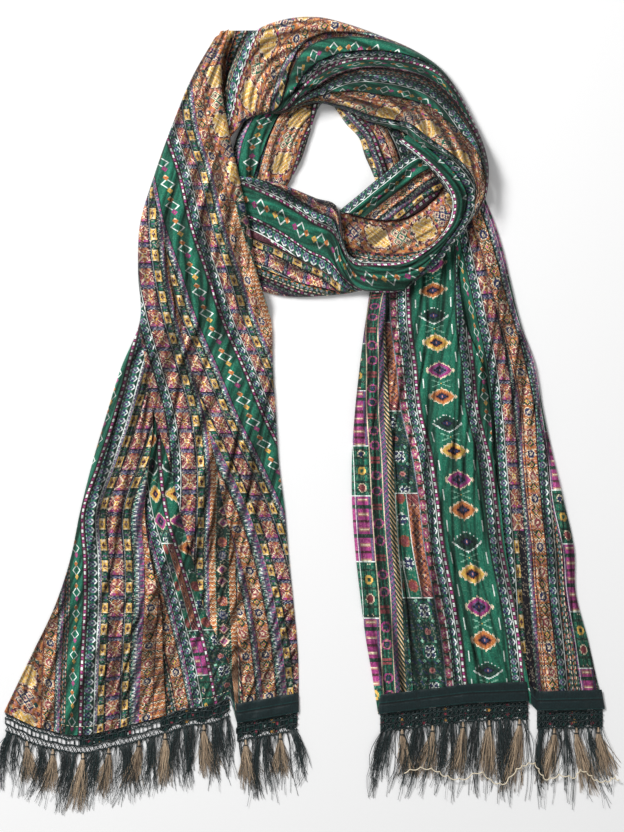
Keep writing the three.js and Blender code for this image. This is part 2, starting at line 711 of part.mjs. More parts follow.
// A strip of cells with open gaps and with locks drawn out of its lower side.
class Comb extends Body {
  constructor({ line, rows, height, isGap }) {
    super();
    this.cells = line.length - 1;
    this.rows = rows.length - 1;
    this.isGap = isGap;
    const corners = (z) => rows.map((depth) => this.addRow(line.map(([x, y]) => [x, y + depth, z])));
    this.upper = corners(height);
    this.lower = corners(0);
    this.height = height;
  }

  solid(i, j) {
    return i >= 0 && j >= 0 && i < this.cells && j < this.rows && !this.isGap(i, j);
  }

  build(lockOf) {
    for (let j = 0; j < this.rows; j += 1) {
      for (let i = 0; i < this.cells; i += 1) {
        if (this.solid(i, j)) {
          this.addCell(i, j, lockOf);
        }
      }
    }
    return this;
  }

  addCell(i, j, lockOf) {
    const corner = (grid, a, b) => grid[b][a];
    const ring = [[i, j], [i + 1, j], [i + 1, j + 1], [i, j + 1]];
    const up = ring.map(([a, b]) => corner(this.upper, a, b));
    const down = ring.map(([a, b]) => corner(this.lower, a, b));
    this.quad(up[0], up[1], up[2], up[3]);
    this.quad(down[3], down[2], down[1], down[0]);
    const beside = [[i, j - 1], [i + 1, j], [i, j + 1], [i - 1, j]];
    beside.forEach(([a, b], side) => {
      if (this.solid(a, b)) {
        return;
      }
      const next = (side + 1) % 4;
      const lock = side === 2 && b === this.rows ? lockOf(i) : null;
      if (lock) {
        this.drawLock([up[2], up[3], down[3], down[2]], lock);
      } else {
        this.quad(up[side], down[side], down[next], up[next]);
      }
    });
  }

  // A lock runs from its root quad through a narrower ring to its tip.
  drawLock(root, lock) {
    const centre = (column) => root.reduce((sum, index) => sum + this.points[index][column], 0) / 4;
    const [x, y] = [centre(0), centre(1)];
    const half = lock.middleWidth / 2;
    const middleX = x + lock.lean * LOCK_MIDDLE.lean + lock.bow;
    const middleY = y + lock.length * LOCK_MIDDLE.reach;
    const top = this.height * LOCK_MIDDLE.height + LOCK_LIFT;
    const ring = this.addRow([
      [middleX + half, middleY, top],
      [middleX - half, middleY, top],
      [middleX - half, middleY, LOCK_LIFT],
      [middleX + half, middleY, LOCK_LIFT],
    ]);
    const [tip] = this.addRow([[x + lock.lean, y + lock.length, LOCK_LIFT + this.height * LOCK_TIP_HEIGHT]]);
    for (let side = 0; side < 4; side += 1) {
      const next = (side + 1) % 4;
      this.quad(root[side], ring[side], ring[next], root[next]);
      this.triangles.push([ring[side], tip, ring[next]]);
    }
  }
}

function lockWave(x) {
  return LOCK_WAVE * Math.sin(x / LOCK_WAVE_LENGTH);
}

function unevenness(index) {
  return LOCK_RHYTHMS.reduce((sum, { rate, start, weight }) => sum + Math.sin(index * rate + start) * weight, 0);
}

function goldCells(tassel, cells) {
  const first = Math.round(tassel.at * cells - GOLD_CELLS / 2);
  return { first, last: first + GOLD_CELLS };
}

function netLine(net, hem) {
  const width = (hem.at(-1)[0] - hem[0][0]) * (net.to - net.from);
  const cells = Math.round(width / NET_CELL);
  return Array.from({ length: cells + 1 }, (unused, index) => {
    const [x, y] = pointOnHem(hem, mix(net.from, net.to, index / cells));
    return [x, y + HEM_GAP];
  });
}

function netBody(net, line) {
  const cells = line.length - 1;
  const golds = GOLD_TASSELS.filter((tassel) => tassel.net === net.name).map((tassel) => goldCells(tassel, cells));
  const isGap = (i, j) => net.open && j === 1 && i % 2 === 1 && i < cells - 1;
  const lockOf = (i) => {
    if (golds.some((gold) => i >= gold.first && i < gold.last)) {
      return null;
    }
    const share = (i + 0.5) / cells;
    const length = mix(net.reach, net.farReach, share) * (1 + LOCK_LENGTH_VARIATION * unevenness(i));
    const lean = mix(net.leanStart, net.leanEnd, share) * length + lockWave(line[i][0]);
    return { length, lean, bow: LOCK_BOW * unevenness(i + 3), middleWidth: LOCK_MIDDLE_WIDTH };
  };
  return new Comb({ line, rows: NET_ROWS, height: NET_THICKNESS, isGap }).build(lockOf);
}

function goldBody(tassel, net, line) {
  const cells = line.length - 1;
  const { first, last } = goldCells(tassel, cells);
  const middle = (first + last) / 2;
  const x = line[Math.round(middle)][0];
  const drop = NET_ROWS.at(-1) + PIECE_GAP;
  const head = Array.from({ length: GOLD_LOCKS + 1 }, (unused, index) => {
    const above = pointAbove(line, x + GOLD_HEAD_WIDTH * (index / GOLD_LOCKS - 0.5));
    return [above[0], above[1] + drop];
  });
  const share = middle / cells;
  const lockOf = (i) => {
    const outward = i - (GOLD_LOCKS - 1) / 2;
    const shorter = GOLD_SHORTER_OUTWARD * Math.abs(outward);
    const length = tassel.length * (1 - shorter + GOLD_LENGTH_VARIATION * unevenness(i));
    const lean = mix(net.leanStart, net.leanEnd, share) * length + lockWave(x) + outward * GOLD_SPREAD;
    return { length, lean, bow: outward * GOLD_BOW, middleWidth: GOLD_MIDDLE_WIDTH };
  };
  return new Comb({ line: head, rows: GOLD_HEAD_ROWS, height: GOLD_THICKNESS, isGap: () => false }).build(lockOf);
}

const table = new Table();
const part = new THREE.Group();
const skins = {};
const netLines = {};

for (const stretch of [BACK_WRAP, RIGHT_TAIL, TURN_FOLD, INNER_TURN, FRONT_WRAP, CROWN, LEFT_TAIL]) {
  const { skin, body } = layCloth(stretch, table);
  skins[stretch.name] = skin;
  part.add(body.toMesh(stretch.name, stretch.colour));
}

for (const braid of BRAIDS) {
  part.add(braidBody(braid, skins[braid.tail]).toMesh(braid.name, 'braid'));
}

for (const net of NETS) {
  netLines[net.name] = netLine(net, skins[net.tail].at(-1));
  part.add(netBody(net, netLines[net.name]).toMesh(net.name, 'braid'));
}

GOLD_TASSELS.forEach((tassel, index) => {
  const net = NETS.find((candidate) => candidate.name === tassel.net);
  part.add(goldBody(tassel, net, netLines[net.name]).toMesh(`gold_tassel_${index + 1}`, 'goldThread'));
});

export default part;
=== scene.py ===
"""A printed dupatta laid flat: wound once into a neck loop, with two pleated tails and fringe.

Plan tables use the layout frame of the spread-out cloth, in millimetres: x to the right and y down
the tails. Plan.to_row turns that into the row frame in metres. Each stretch of cloth that shows is
one sheet, made of strips between pleat folds, and each strip carries bands of the print.
"""
import logging
import math
from collections.abc import Callable, Sequence
from dataclasses import dataclass
from enum import Enum

import bpy
import numpy as np
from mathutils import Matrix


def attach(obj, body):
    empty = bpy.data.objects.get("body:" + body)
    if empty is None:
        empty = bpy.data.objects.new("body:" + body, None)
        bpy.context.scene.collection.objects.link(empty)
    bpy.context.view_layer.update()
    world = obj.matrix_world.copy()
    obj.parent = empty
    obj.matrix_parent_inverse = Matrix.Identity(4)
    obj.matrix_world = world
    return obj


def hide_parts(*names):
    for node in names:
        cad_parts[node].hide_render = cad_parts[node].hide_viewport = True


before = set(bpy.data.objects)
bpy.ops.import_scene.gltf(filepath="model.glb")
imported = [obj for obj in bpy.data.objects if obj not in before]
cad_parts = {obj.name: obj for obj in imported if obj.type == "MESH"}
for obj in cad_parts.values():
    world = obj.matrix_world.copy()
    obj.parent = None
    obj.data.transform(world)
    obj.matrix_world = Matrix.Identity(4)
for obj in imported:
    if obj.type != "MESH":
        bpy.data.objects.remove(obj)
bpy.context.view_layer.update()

log = logging.getLogger("dupatta")

Array = np.ndarray
Numbers = Sequence[float] | Array
Material = bpy.types.Material
Node = bpy.types.Node
Piece = bpy.types.Object
Socket = bpy.types.NodeSocket
Tree = bpy.types.NodeTree

MM = 0.001
STITCH = 1.1
CENTRE_X = 304.404
CENTRE_Y = 414.373


class Band(Enum):
    """Bands of the print, with the width in millimetres that each is drawn at."""

    ZIG = ("zig", 23.0)
    FLOWERS = ("flowers", 9.0)
    DASHES = ("dashes", 3.5)
    RED_SQUARES = ("red_squares", 16.0)
    YELLOW_SQUARES = ("yellow_squares", 7.5)
    ROPE = ("rope", 5.0)
    MEDALLIONS = ("medallions", 33.0)
    FLORAL = ("floral", 14.0)
    PANEL = ("panel", 26.0)
    DIAMONDS = ("diamonds", 45.0)
    PART_DIAMONDS = ("part_diamonds", 26.0)
    RINGS = ("rings", 12.0)
    TWILL = ("twill", 10.0)
    BOXES = ("boxes", 23.0)
    BLOCKS = ("blocks", 16.0)
    ROSES = ("roses", 8.0)
    # SHADE is painted shade: a dark ground for cloth in shadow inside folds, with stitches of the print.
    SHADE = ("shade", 10.0)

    @property
    def key(self) -> str:
        """Name used for the material."""
        return self.value[0]

    @property
    def width(self) -> float:
        """Width that the band is drawn at, in millimetres."""
        return self.value[1]


(
    ZIG, FLOWERS, DASHES, RED_SQUARES, YELLOW_SQUARES, ROPE, MEDALLIONS, FLORAL,
    PANEL, DIAMONDS, PART_DIAMONDS, RINGS, TWILL, BOXES, BLOCKS, ROSES, SHADE,
) = Band


class Side(Enum):
    """The side of a pleat fold that lies on top."""

    A = 1
    B = -1


class Layout:
    """How much of the stretch's thickness its ends keep, and sampling steps of the cloth."""

    ALONG_STEP = 2.4
    ACROSS_STEP = 1.15
    END_FADE = 0.09
    END_SHARE = 0.55


@dataclass(frozen=True)
class Strip:
    """Cloth that shows between two pleat folds.

    Args:
        bands: bands of the print across it, each with the width that it takes up in millimetres.
        end: places of the fold at the strip's b side, left out of the last strip.
        pin: places of the start of the pinned band, left out where it starts at the fold before.
        pinned: index of the pinned band.
        step: height of the fold at the b side, in millimetres.
        upper: the side that lies on top at that fold.
        depth: how far the strip lies below its neighbours, in millimetres.
        shift: start of the print along the strip, in millimetres.
        changes: index of a band, the share of the length where it changes, and the band it becomes.
    """

    bands: tuple
    end: tuple = ()
    pin: tuple = ()
    pinned: int = 0
    step: float = 3.0
    upper: Side = Side.A
    depth: float = 0.0
    shift: float = 0.0
    changes: tuple = ()


@dataclass(frozen=True)
class Stretch:
    """One stretch of the cloth that shows.

    Args:
        name: name of the CAD node that it stands for.
        stations: lines across the cloth as (ax, ay, bx, by, thickness) in millimetres.
        strips: strips from the a edge to the b edge.
        in_x: whether pins and ends are layout x values, not shares of the width.
        hem: drops of the hem as (share of the width, millimetres).
        lengthwise: print coordinate at evenly spaced stations, in place of the arc length.
        rests_on: pieces that it lies on; not used.
        held: how the cloth is held; not used.
        seed: seed of its small wrinkles.
        creases: main creases as (x0, y0, x1, y1, width, depth), a ridge where depth is negative.
    """

    name: str
    stations: tuple
    strips: tuple
    in_x: bool = False
    hem: tuple = ()
    lengthwise: tuple = ()
    rests_on: tuple = ("floor",)
    held: str = "folded"
    seed: int = 1
    creases: tuple = ()


HEM_BLEND_START = 0.84

BACK_WRAP = Stretch(
    name="back_wrap",
    seed=3,
    stations=(
        (236, 206, 272, 208, 6), (231, 182, 288, 184, 8), (232, 158, 301, 160, 9),
        (238, 134, 309, 136, 9), (256, 104, 316, 114, 9), (292, 74, 322, 104, 8),
        (334, 66, 331, 103, 8), (372, 74, 337, 111, 8), (394, 96, 347, 125, 9), (410, 118, 359, 138, 9),
        (424, 144, 365, 156, 9), (430, 170, 372, 172, 8), (428, 192, 380, 192, 6),
    ),
    strips=(
        Strip(
            bands=((ROPE, 6), (ZIG, 24), (FLOWERS, 9)), pin=(0.0, 0.02, 0.0, 0.0, 0.0),
            end=(0.3, 0.42, 0.4, 0.3, 0.32), step=2.5, changes=((1, 0.5, SHADE),),
        ),
        Strip(
            bands=((FLOWERS, 9), (DASHES, 3), (SHADE, 7)), end=(0.46, 0.48, 0.52, 0.5, 0.52),
            step=3.0, upper=Side.B,
        ),
        Strip(
            bands=((FLORAL, 4), (MEDALLIONS, 26), (DASHES, 3.5), (SHADE, 8)),
            pin=(0.48, 0.5, 0.55, 0.52, 0.54), end=(0.99, 0.99, 0.78, 0.74, 0.76),
            step=2.5, upper=Side.B, changes=((1, 0.5, RED_SQUARES),),
        ),
        Strip(bands=((DASHES, 3.5), (ROPE, 5), (YELLOW_SQUARES, 7))),
    ),
)

RIGHT_TAIL = Stretch(
    name="right_tail",
    seed=5,
    in_x=True,
    stations=(
        (396, 244, 478, 180, 5), (374, 276, 500, 240, 6), (366, 318, 519, 318, 6.5),
        (360, 364, 535, 364, 6), (355, 410, 543, 410, 6), (352, 456, 553, 456, 5.5),
        (352, 502, 564, 502, 5.5), (355, 548, 574, 548, 5), (360, 594, 576, 594, 5),
        (366, 640, 588, 640, 4.5), (373, 680, 597, 680, 4), (378, 714, 605, 709, 3.5),
    ),
    hem=((0, 0), (0.4, -9), (0.66, -10), (0.7, 0), (1, 0)),
    lengthwise=(-82, -34, 30, 76, 124, 170, 213, 253, 292, 330, 364, 390),
    strips=(
        Strip(
            bands=((BLOCKS, 16), (RINGS, 13), (TWILL, 10.5), (BOXES, 20)), pinned=1,
            pin=(392, 376, 366, 366, 366, 369, 371, 374, 378, 380, 382, 384),
            end=(404, 388, 384, 386, 388, 393, 396, 399, 404, 408, 411, 413), step=2.5,
        ),
        Strip(
            bands=(
                (BOXES, 24), (ROSES, 8), (FLOWERS, 8.5), (DASHES, 4.5), (DIAMONDS, 45), (FLOWERS, 9),
                (DASHES, 3.5), (ZIG, 14),
            ),
            pinned=4, pin=(418, 411, 411, 416.5, 421.5, 432.5, 439.5, 445, 454, 462, 466, 469),
            end=(450, 455, 463, 480, 489, 492, 499, 504, 512, 519, 527, 531), step=4,
        ),
        Strip(
            bands=((ZIG, 8), (FLOWERS, 9), (RED_SQUARES, 12), (ROPE, 5), (FLORAL, 8)), pinned=1,
            pin=(452, 462, 477, 487, 493, 497, 501, 505, 508, 511, 514, 516),
            end=(462, 480, 500, 512, 522, 524, 528, 533, 536, 541, 545, 547), step=3, upper=Side.B,
            changes=((2, 0.6, YELLOW_SQUARES),),
        ),
        Strip(
            bands=((FLORAL, 12), (FLOWERS, 9), (SHADE, 6)),
            pin=(462, 480, 500, 513, 522, 525, 529, 534, 537, 542, 546, 548),
            end=(470, 490, 511, 528, 536, 545, 550, 560, 564, 571, 578, 581), step=2.5,
        ),
        Strip(
            bands=((ROPE, 5), (BLOCKS, 14), (ROPE, 8)),
            pin=(472, 492, 512, 529, 536, 543, 548, 558, 562, 570, 576, 580), shift=-42,
        ),
    ),
    creases=(
        (380, 305, 400, 400, 5, 1.6), (402, 300, 415, 420, 4, 1.3), (462, 290, 478, 420, 4, 3.4),
        (478, 420, 486, 520, 4, 1.6), (486, 500, 520, 640, 4, 1.8), (430, 540, 450, 690, 5, 1.0),
        (540, 480, 560, 600, 4, 1.4), (360, 470, 372, 640, 4, 0.9), (500, 250, 520, 360, 5, 1.4),
        (455, 330, 458, 470, 8, -1.0),
    ),
)

TURN_FOLD = Stretch(
    name="turn_fold",
    seed=7,
    stations=(
        (220.5, 31, 257, 30.5, 6), (208, 62, 249, 58, 8), (208, 88, 243, 86, 8), (214, 112, 236, 112, 6),
    ),
    strips=(
        Strip(bands=((MEDALLIONS, 18), (DASHES, 3)), pin=(0.0, 0.0), end=(0.42, 0.5)),
        Strip(bands=((SHADE, 12), (FLOWERS, 8), (SHADE, 12))),
    ),
)

INNER_TURN = Stretch(
    name="inner_turn",
    seed=11,
    rests_on=("right_tail_cloth", "back_wrap_cloth"),
    stations=(
        (340, 210, 346, 264, 7), (356, 197, 372, 271, 9), (374, 182, 404, 269, 10),
        (390, 169, 430, 254, 10), (404, 157, 449, 228, 9), (415, 151, 456, 204, 7),
    ),
    strips=(
        Strip(
            bands=((FLOWERS, 9), (ZIG, 14), (FLORAL, 10), (ROPE, 7), (YELLOW_SQUARES, 6), (DASHES, 4)),
            pin=(0.0, 0.0, 0.0, 0.0), end=(0.03, 0.38, 0.56, 0.65), step=4.5, shift=9,
        ),
        Strip(bands=((DASHES, 3), (MEDALLIONS, 34), (SHADE, 8)), shift=11),
    ),
    creases=(
        (372, 214, 412, 170, 3, 1.2), (360, 225, 372, 262, 5, 2.0), (395, 238, 436, 214, 5, 1.6),
    ),
)

FRONT_WRAP = Stretch(
    name="front_wrap",
    seed=13,
    rests_on=("inner_turn_cloth", "right_tail_cloth", "back_wrap_cloth"),
    stations=(
        (398, 142, 424, 124, 5), (420, 160, 456, 150, 6), (440, 180, 479, 173, 7),
        (451, 200, 485, 193, 8), (449, 222, 473, 217, 9), (437, 240, 458, 237, 9),
        (420, 253, 441, 260, 9), (404, 261, 421, 277, 9), (386, 263, 401, 291, 9),
        (366, 261, 380, 293, 9), (350, 256, 362, 291, 9), (342, 236, 346, 294, 10),
        (336, 206, 322, 296, 10), (316, 198, 297, 297, 10), (288, 187, 272, 294, 9),
        (262, 180, 254, 286, 8), (238, 176, 236, 262, 6),
    ),
    strips=(
        Strip(
            bands=(
                (RED_SQUARES, 10), (FLOWERS, 9), (DASHES, 3.5), (ZIG, 27), (DASHES, 2), (FLOWERS, 11),
                (DASHES, 2),
            ),
            pinned=2, pin=(0.05, 0.05, 0.04, 0.02, 0.02, 0.14, 0.26, 0.14, 0.05),
            end=(0.4, 0.4, 0.45, 0.62, 1.0, 1.0, 0.73, 0.56, 0.57), step=3.0, shift=4,
        ),
        Strip(
            bands=((FLOWERS, 11), (ROPE, 5), (RED_SQUARES, 12)),
            end=(1.0, 1.0, 1.0, 1.0, 1.0, 1.0, 0.74, 0.58, 0.58), step=2.5,
        ),
        Strip(
            bands=((YELLOW_SQUARES, 8), (RED_SQUARES, 14), (YELLOW_SQUARES, 8)),
            end=(1.0, 1.0, 1.0, 1.0, 1.0, 1.0, 0.9, 0.8, 0.8), step=3.5,
        ),
        Strip(bands=((SHADE, 9), (DASHES, 3), (ROPE, 5), (RED_SQUARES, 12))),
    ),
    creases=(
        (326, 214, 338, 262, 4, 1.8), (266, 196, 320, 236, 6, -0.8), (345, 262, 352, 290, 5, 1.6),
        (418, 262, 446, 232, 4, 1.5), (262, 250, 318, 284, 3, 1.6), (470, 180, 462, 226, 4, 1.2),
    ),
)

CROWN = Stretch(
    name="crown",
    seed=17,
    rests_on=("back_wrap_cloth", "turn_fold_cloth", "front_wrap_cloth"),
    stations=(
        (216, 128, 228, 141, 5), (223, 101, 246, 121, 8), (229, 73, 264, 115, 10),
        (241, 48, 284, 114, 12), (259, 29, 301, 107, 13), (286, 19, 314, 104, 14),
        (318, 17, 325, 105, 14), (351, 25, 335, 108, 14), (384, 37, 348, 112, 14),
        (412, 49, 368, 122, 14), (438, 66, 388, 128, 14), (456, 88, 402, 132, 13),
        (470, 114, 415, 142, 13), (482, 140, 430, 150, 12), (488, 163, 447, 158, 11),
        (488, 184, 462, 168, 9), (484, 202, 472, 180, 7), (474, 219, 474, 196, 5),
    ),
    strips=(
        Strip(
            bands=(
                (SHADE, 4), (FLOWERS, 9), (DASHES, 2), (MEDALLIONS, 31), (FLORAL, 13), (ROPE, 5),
                (YELLOW_SQUARES, 8), (RED_SQUARES, 16),
            ),
            pin=(0.0, 0.0, -0.42, -0.8, -1.0, -1.0, -1.0), end=(1.0, 0.9, 0.24, 0.0, 0.0, 0.0, 0.0),
            step=5,
        ),
        Strip(
            bands=((RED_SQUARES, 9), (ROPE, 5), (SHADE, 8)), end=(1.0, 0.93, 0.34, 0.03, 0.0, 0.0, 0.0),
            step=3, upper=Side.B,
        ),
        Strip(
            bands=((ZIG, 21), (DASHES, 2)), end=(1.0, 0.95, 0.54, 0.12, 0.0, 0.0, 0.0),
            step=3.5, shift=4,
        ),
        Strip(
            bands=((FLOWERS, 8), (DASHES, 2), (BOXES, 12)), end=(1.0, 0.96, 0.67, 0.22, 0.0, 0.0, 0.0),
            step=3, upper=Side.B, shift=60,
        ),
        Strip(
            bands=((DASHES, 3), (ZIG, 6), (ROSES, 5), (RED_SQUARES, 12)),
            end=(1.0, 0.97, 0.78, 0.34, 0.1, 0.0, 0.0), step=4,
        ),
        Strip(
            bands=((DASHES, 3), (SHADE, 5), (ROSES, 6), (ROPE, 5)),
            end=(1.0, 0.98, 0.84, 0.46, 0.22, 0.1, 0.05), step=3.5, upper=Side.B,
        ),
        Strip(
            bands=((FLOWERS, 8), (ZIG, 13), (ROSES, 5), (DASHES, 3)),
            end=(1.0, 0.985, 0.9, 0.68, 0.42, 0.12, 0.08), step=3.5,
        ),
        Strip(
            bands=((FLORAL, 8), (MEDALLIONS, 28), (SHADE, 4)),
            end=(1.0, 0.99, 0.97, 0.93, 0.82, 0.74, 0.62), step=4, shift=14,
        ),
        Strip(bands=((FLOWERS, 7), (ZIG, 12), (DASHES, 2))),
    ),
    creases=(
        (300, 42, 372, 28, 4, 1.6), (282, 84, 352, 62, 4, 1.6), (290, 98, 372, 76, 3, 1.8),
        (330, 100, 400, 82, 3, 1.6), (360, 60, 430, 68, 3, 1.4), (400, 62, 452, 96, 3, 1.4),
        (390, 72, 446, 108, 3, 1.2), (420, 72, 468, 122, 3, 1.4), (264, 96, 282, 52, 5, 1.4),
        (252, 100, 262, 60, 5, -1.0), (350, 104, 398, 122, 4, 1.6), (404, 124, 470, 166, 6, -0.9),
    ),
)

LEFT_TAIL = Stretch(
    name="left_tail",
    seed=19,
    in_x=True,
    rests_on=("crown_cloth", "front_wrap_cloth", "floor"),
    stations=(
        (215, 38, 229, 30, 6), (191, 80, 221, 76, 8), (171, 128, 228, 126, 8), (154, 176, 239, 176, 8),
        (140, 224, 249, 224, 8), (138, 272, 257, 272, 8), (140, 320, 271, 320, 7.5),
        (121, 368, 273, 368, 7), (106, 416, 276, 416, 6.5), (92, 464, 279, 464, 6),
        (80, 512, 285, 512, 5.5), (70, 560, 289, 560, 5), (54, 608, 294, 608, 4.5),
        (31, 656, 298, 656, 4), (4, 712, 299, 712, 3.5),
    ),
    hem=(
        (0, 0), (0.1, 14), (0.22, 23), (0.28, 23), (0.4, 15), (0.54, 4), (0.62, -4), (0.7, -6),
        (0.765, -14), (0.79, 11), (1, 0),
    ),
    strips=(
        Strip(
            bands=(
                (MEDALLIONS, 33), (FLORAL, 13), (ROPE, 5), (SHADE, 6), (ZIG, 13), (DASHES, 4),
                (FLOWERS, 12), (ROPE, 2), (YELLOW_SQUARES, 8), (RED_SQUARES, 16), (YELLOW_SQUARES, 8),
                (ROPE, 11), (FLORAL, 14),
            ),
            pinned=6, pin=(215, 191, 171, 154, 140, 138, 140, 130, 117, 101, 85, 87, 87, 84, 82),
            end=(215, 191, 171, 154, 140, 138, 140, 145, 152, 148, 144, 150, 160, 162, 165), step=3.5,
        ),
        Strip(
            bands=(
                (SHADE, 8), (FLORAL, 12), (ROPE, 5), (FLOWERS, 9), (PART_DIAMONDS, 11), (DASHES, 4),
                (PART_DIAMONDS, 26), (BLOCKS, 18),
            ),
            pinned=5, pin=(215, 191, 171, 154, 140, 138, 140, 145, 155, 158, 164, 178, 192, 204, 214),
            end=(215, 191, 171, 154, 140, 138, 140, 146, 156, 171, 181, 194, 205, 225, 238), shift=22,
            changes=((4, 0.74, BOXES), (4, 0.9, BLOCKS), (6, 0.8, BOXES)),
            step=3.5, upper=Side.B, depth=2.0,
        ),
        Strip(
            bands=(
                (RED_SQUARES, 12), (FLOWERS, 9), (RED_SQUARES, 16), (YELLOW_SQUARES, 8), (ROPE, 5),
                (PANEL, 26), (ROPE, 5),
            ),
            pinned=3, pin=(190, 175, 160, 150, 149, 154, 164, 178, 191, 197, 197, 196, 197, 199, 200),
            end=(215, 191, 171, 154, 163, 171, 181, 192, 206, 217, 226, 238, 238, 239, 240),
            step=4, upper=Side.B,
        ),
        Strip(
            bands=(
                (SHADE, 9), (FLORAL, 13), (ROPE, 6), (FLORAL, 14), (ROPE, 10), (YELLOW_SQUARES, 8),
                (RED_SQUARES, 14.5), (YELLOW_SQUARES, 7.5), (ROPE, 6), (ZIG, 24), (DASHES, 3.5),
                (FLOWERS, 9), (RED_SQUARES, 10), (YELLOW_SQUARES, 7.5), (ROPE, 5), (FLORAL, 10),
                (MEDALLIONS, 33),
            ),
            pinned=9, pin=(126, 133, 139, 154, 165, 181, 197, 218, 238, 262, 284, 300, 311, 319, 324),
            changes=((16, 0.25, PANEL),),
        ),
    ),
    creases=(
        (84, 511, 132, 520, 4, 2.2), (84, 520, 130, 534, 8, 1.2), (204, 120, 234, 232, 4, 1.8),
        (184, 130, 212, 260, 4, 1.1), (232, 234, 246, 330, 4, 1.8), (204, 262, 246, 400, 4, 1.6),
        (160, 180, 176, 262, 4, 1.3), (176, 330, 216, 450, 4, 1.6), (208, 440, 226, 600, 4, 1.8),
        (252, 420, 262, 560, 4, 1.4), (238, 540, 268, 700, 4, 1.8), (104, 430, 96, 500, 4, 1.2),
        (70, 560, 60, 700, 5, 1.6), (92, 560, 92, 712, 3, 1.0), (110, 560, 116, 716, 4, 1.0),
        (36, 650, 44, 712, 6, 1.4), (150, 600, 156, 700, 4, 1.8), (216, 560, 214, 650, 7, -1.2),
        (172, 520, 196, 640, 5, 1.4), (142, 230, 150, 320, 3, 1.2),
    ),
)

STRETCHES = (BACK_WRAP, RIGHT_TAIL, TURN_FOLD, INNER_TURN, FRONT_WRAP, CROWN, LEFT_TAIL)


def smooth(value: Numbers) -> Array:
    """Soft step from 0 to 1.

    Args:
        value: number or array.

    Returns:
        The same shape, 0 below 0 and 1 above 1.
    """
    v = np.clip(value, 0.0, 1.0)
    return v * v * (3 - 2 * v)


def curve_through(values: Numbers, place: Array) -> Array:
    """Smooth curve through evenly spaced values.

    Args:
        values: two or more numbers.
        place: array of places, counted in values from 0.

    Returns:
        Array of the curve's heights.
    """
    values = np.asarray(values, float)
    last = len(values) - 1
    index = np.clip(np.floor(place).astype(int), 0, last - 1)
    f = np.asarray(place, float) - index
    before = 2 * values[0] - values[1]
    after = 2 * values[-1] - values[-2]
    padded = np.concatenate([[before], values, [after]])
    p0, p1, p2, p3 = (padded[index + k] for k in range(4))
    f2, f3 = f * f, f * f * f
    return (
        (2 * f3 - 3 * f2 + 1) * p1
        + (f3 - 2 * f2 + f) * (p2 - p0) / 2
        + (3 * f2 - 2 * f3) * p2
        + (f3 - f2) * (p3 - p1) / 2
    )


def spread_over(values: Numbers, along: Numbers) -> Array:
    """Reads a short table at shares of the length.

    Args:
        values: evenly spaced numbers.
        along: array of shares from 0 to 1.

    Returns:
        Array of the same shape as along.
    """
    return curve_through(values, np.asarray(along) * (len(values) - 1))


class Plan:
    """Plan of one stretch in the layout frame."""

    def __init__(self, stretch: Stretch) -> None:
        """Keeps the stretch and the columns of its table."""
        self.stretch = stretch
        self.columns = list(zip(*stretch.stations))

    def line(self, along: Array) -> list[Array]:
        """Ends of the lines across the cloth.

        Args:
            along: array of shares of the length.

        Returns:
            Arrays ax, ay, bx, by and thickness.
        """
        return [spread_over(column, along) for column in self.columns]

    def point(self, along: Array, across: Numbers) -> tuple[Array, Array]:
        """Layout x and y of points of the cloth.

        Args:
            along: shares of the length.
            across: shares of the width, from the a edge.

        Returns:
            Arrays x and y in millimetres.
        """
        ax, ay, bx, by, _ = self.line(along)
        x = ax + (bx - ax) * across
        y = ay + (by - ay) * across
        if self.stretch.hem:
            shares, drops = zip(*self.stretch.hem)
            pull = smooth((np.asarray(along) - HEM_BLEND_START) / (1 - HEM_BLEND_START))
            y = y + np.interp(across, shares, drops) * pull
        return x, y

    def length(self) -> float:
        """Length of the middle line in millimetres."""
        x, y = self.point(np.linspace(0, 1, 60), np.full(60, 0.5))
        return float(np.hypot(np.diff(x), np.diff(y)).sum())

    @staticmethod
    def to_row(x: Array, y: Array, z: Array) -> Array:
        """Layout millimetres to row frame metres."""
        return np.stack([(x - CENTRE_X) * MM, (CENTRE_Y - y) * MM, z * MM], axis=-1)


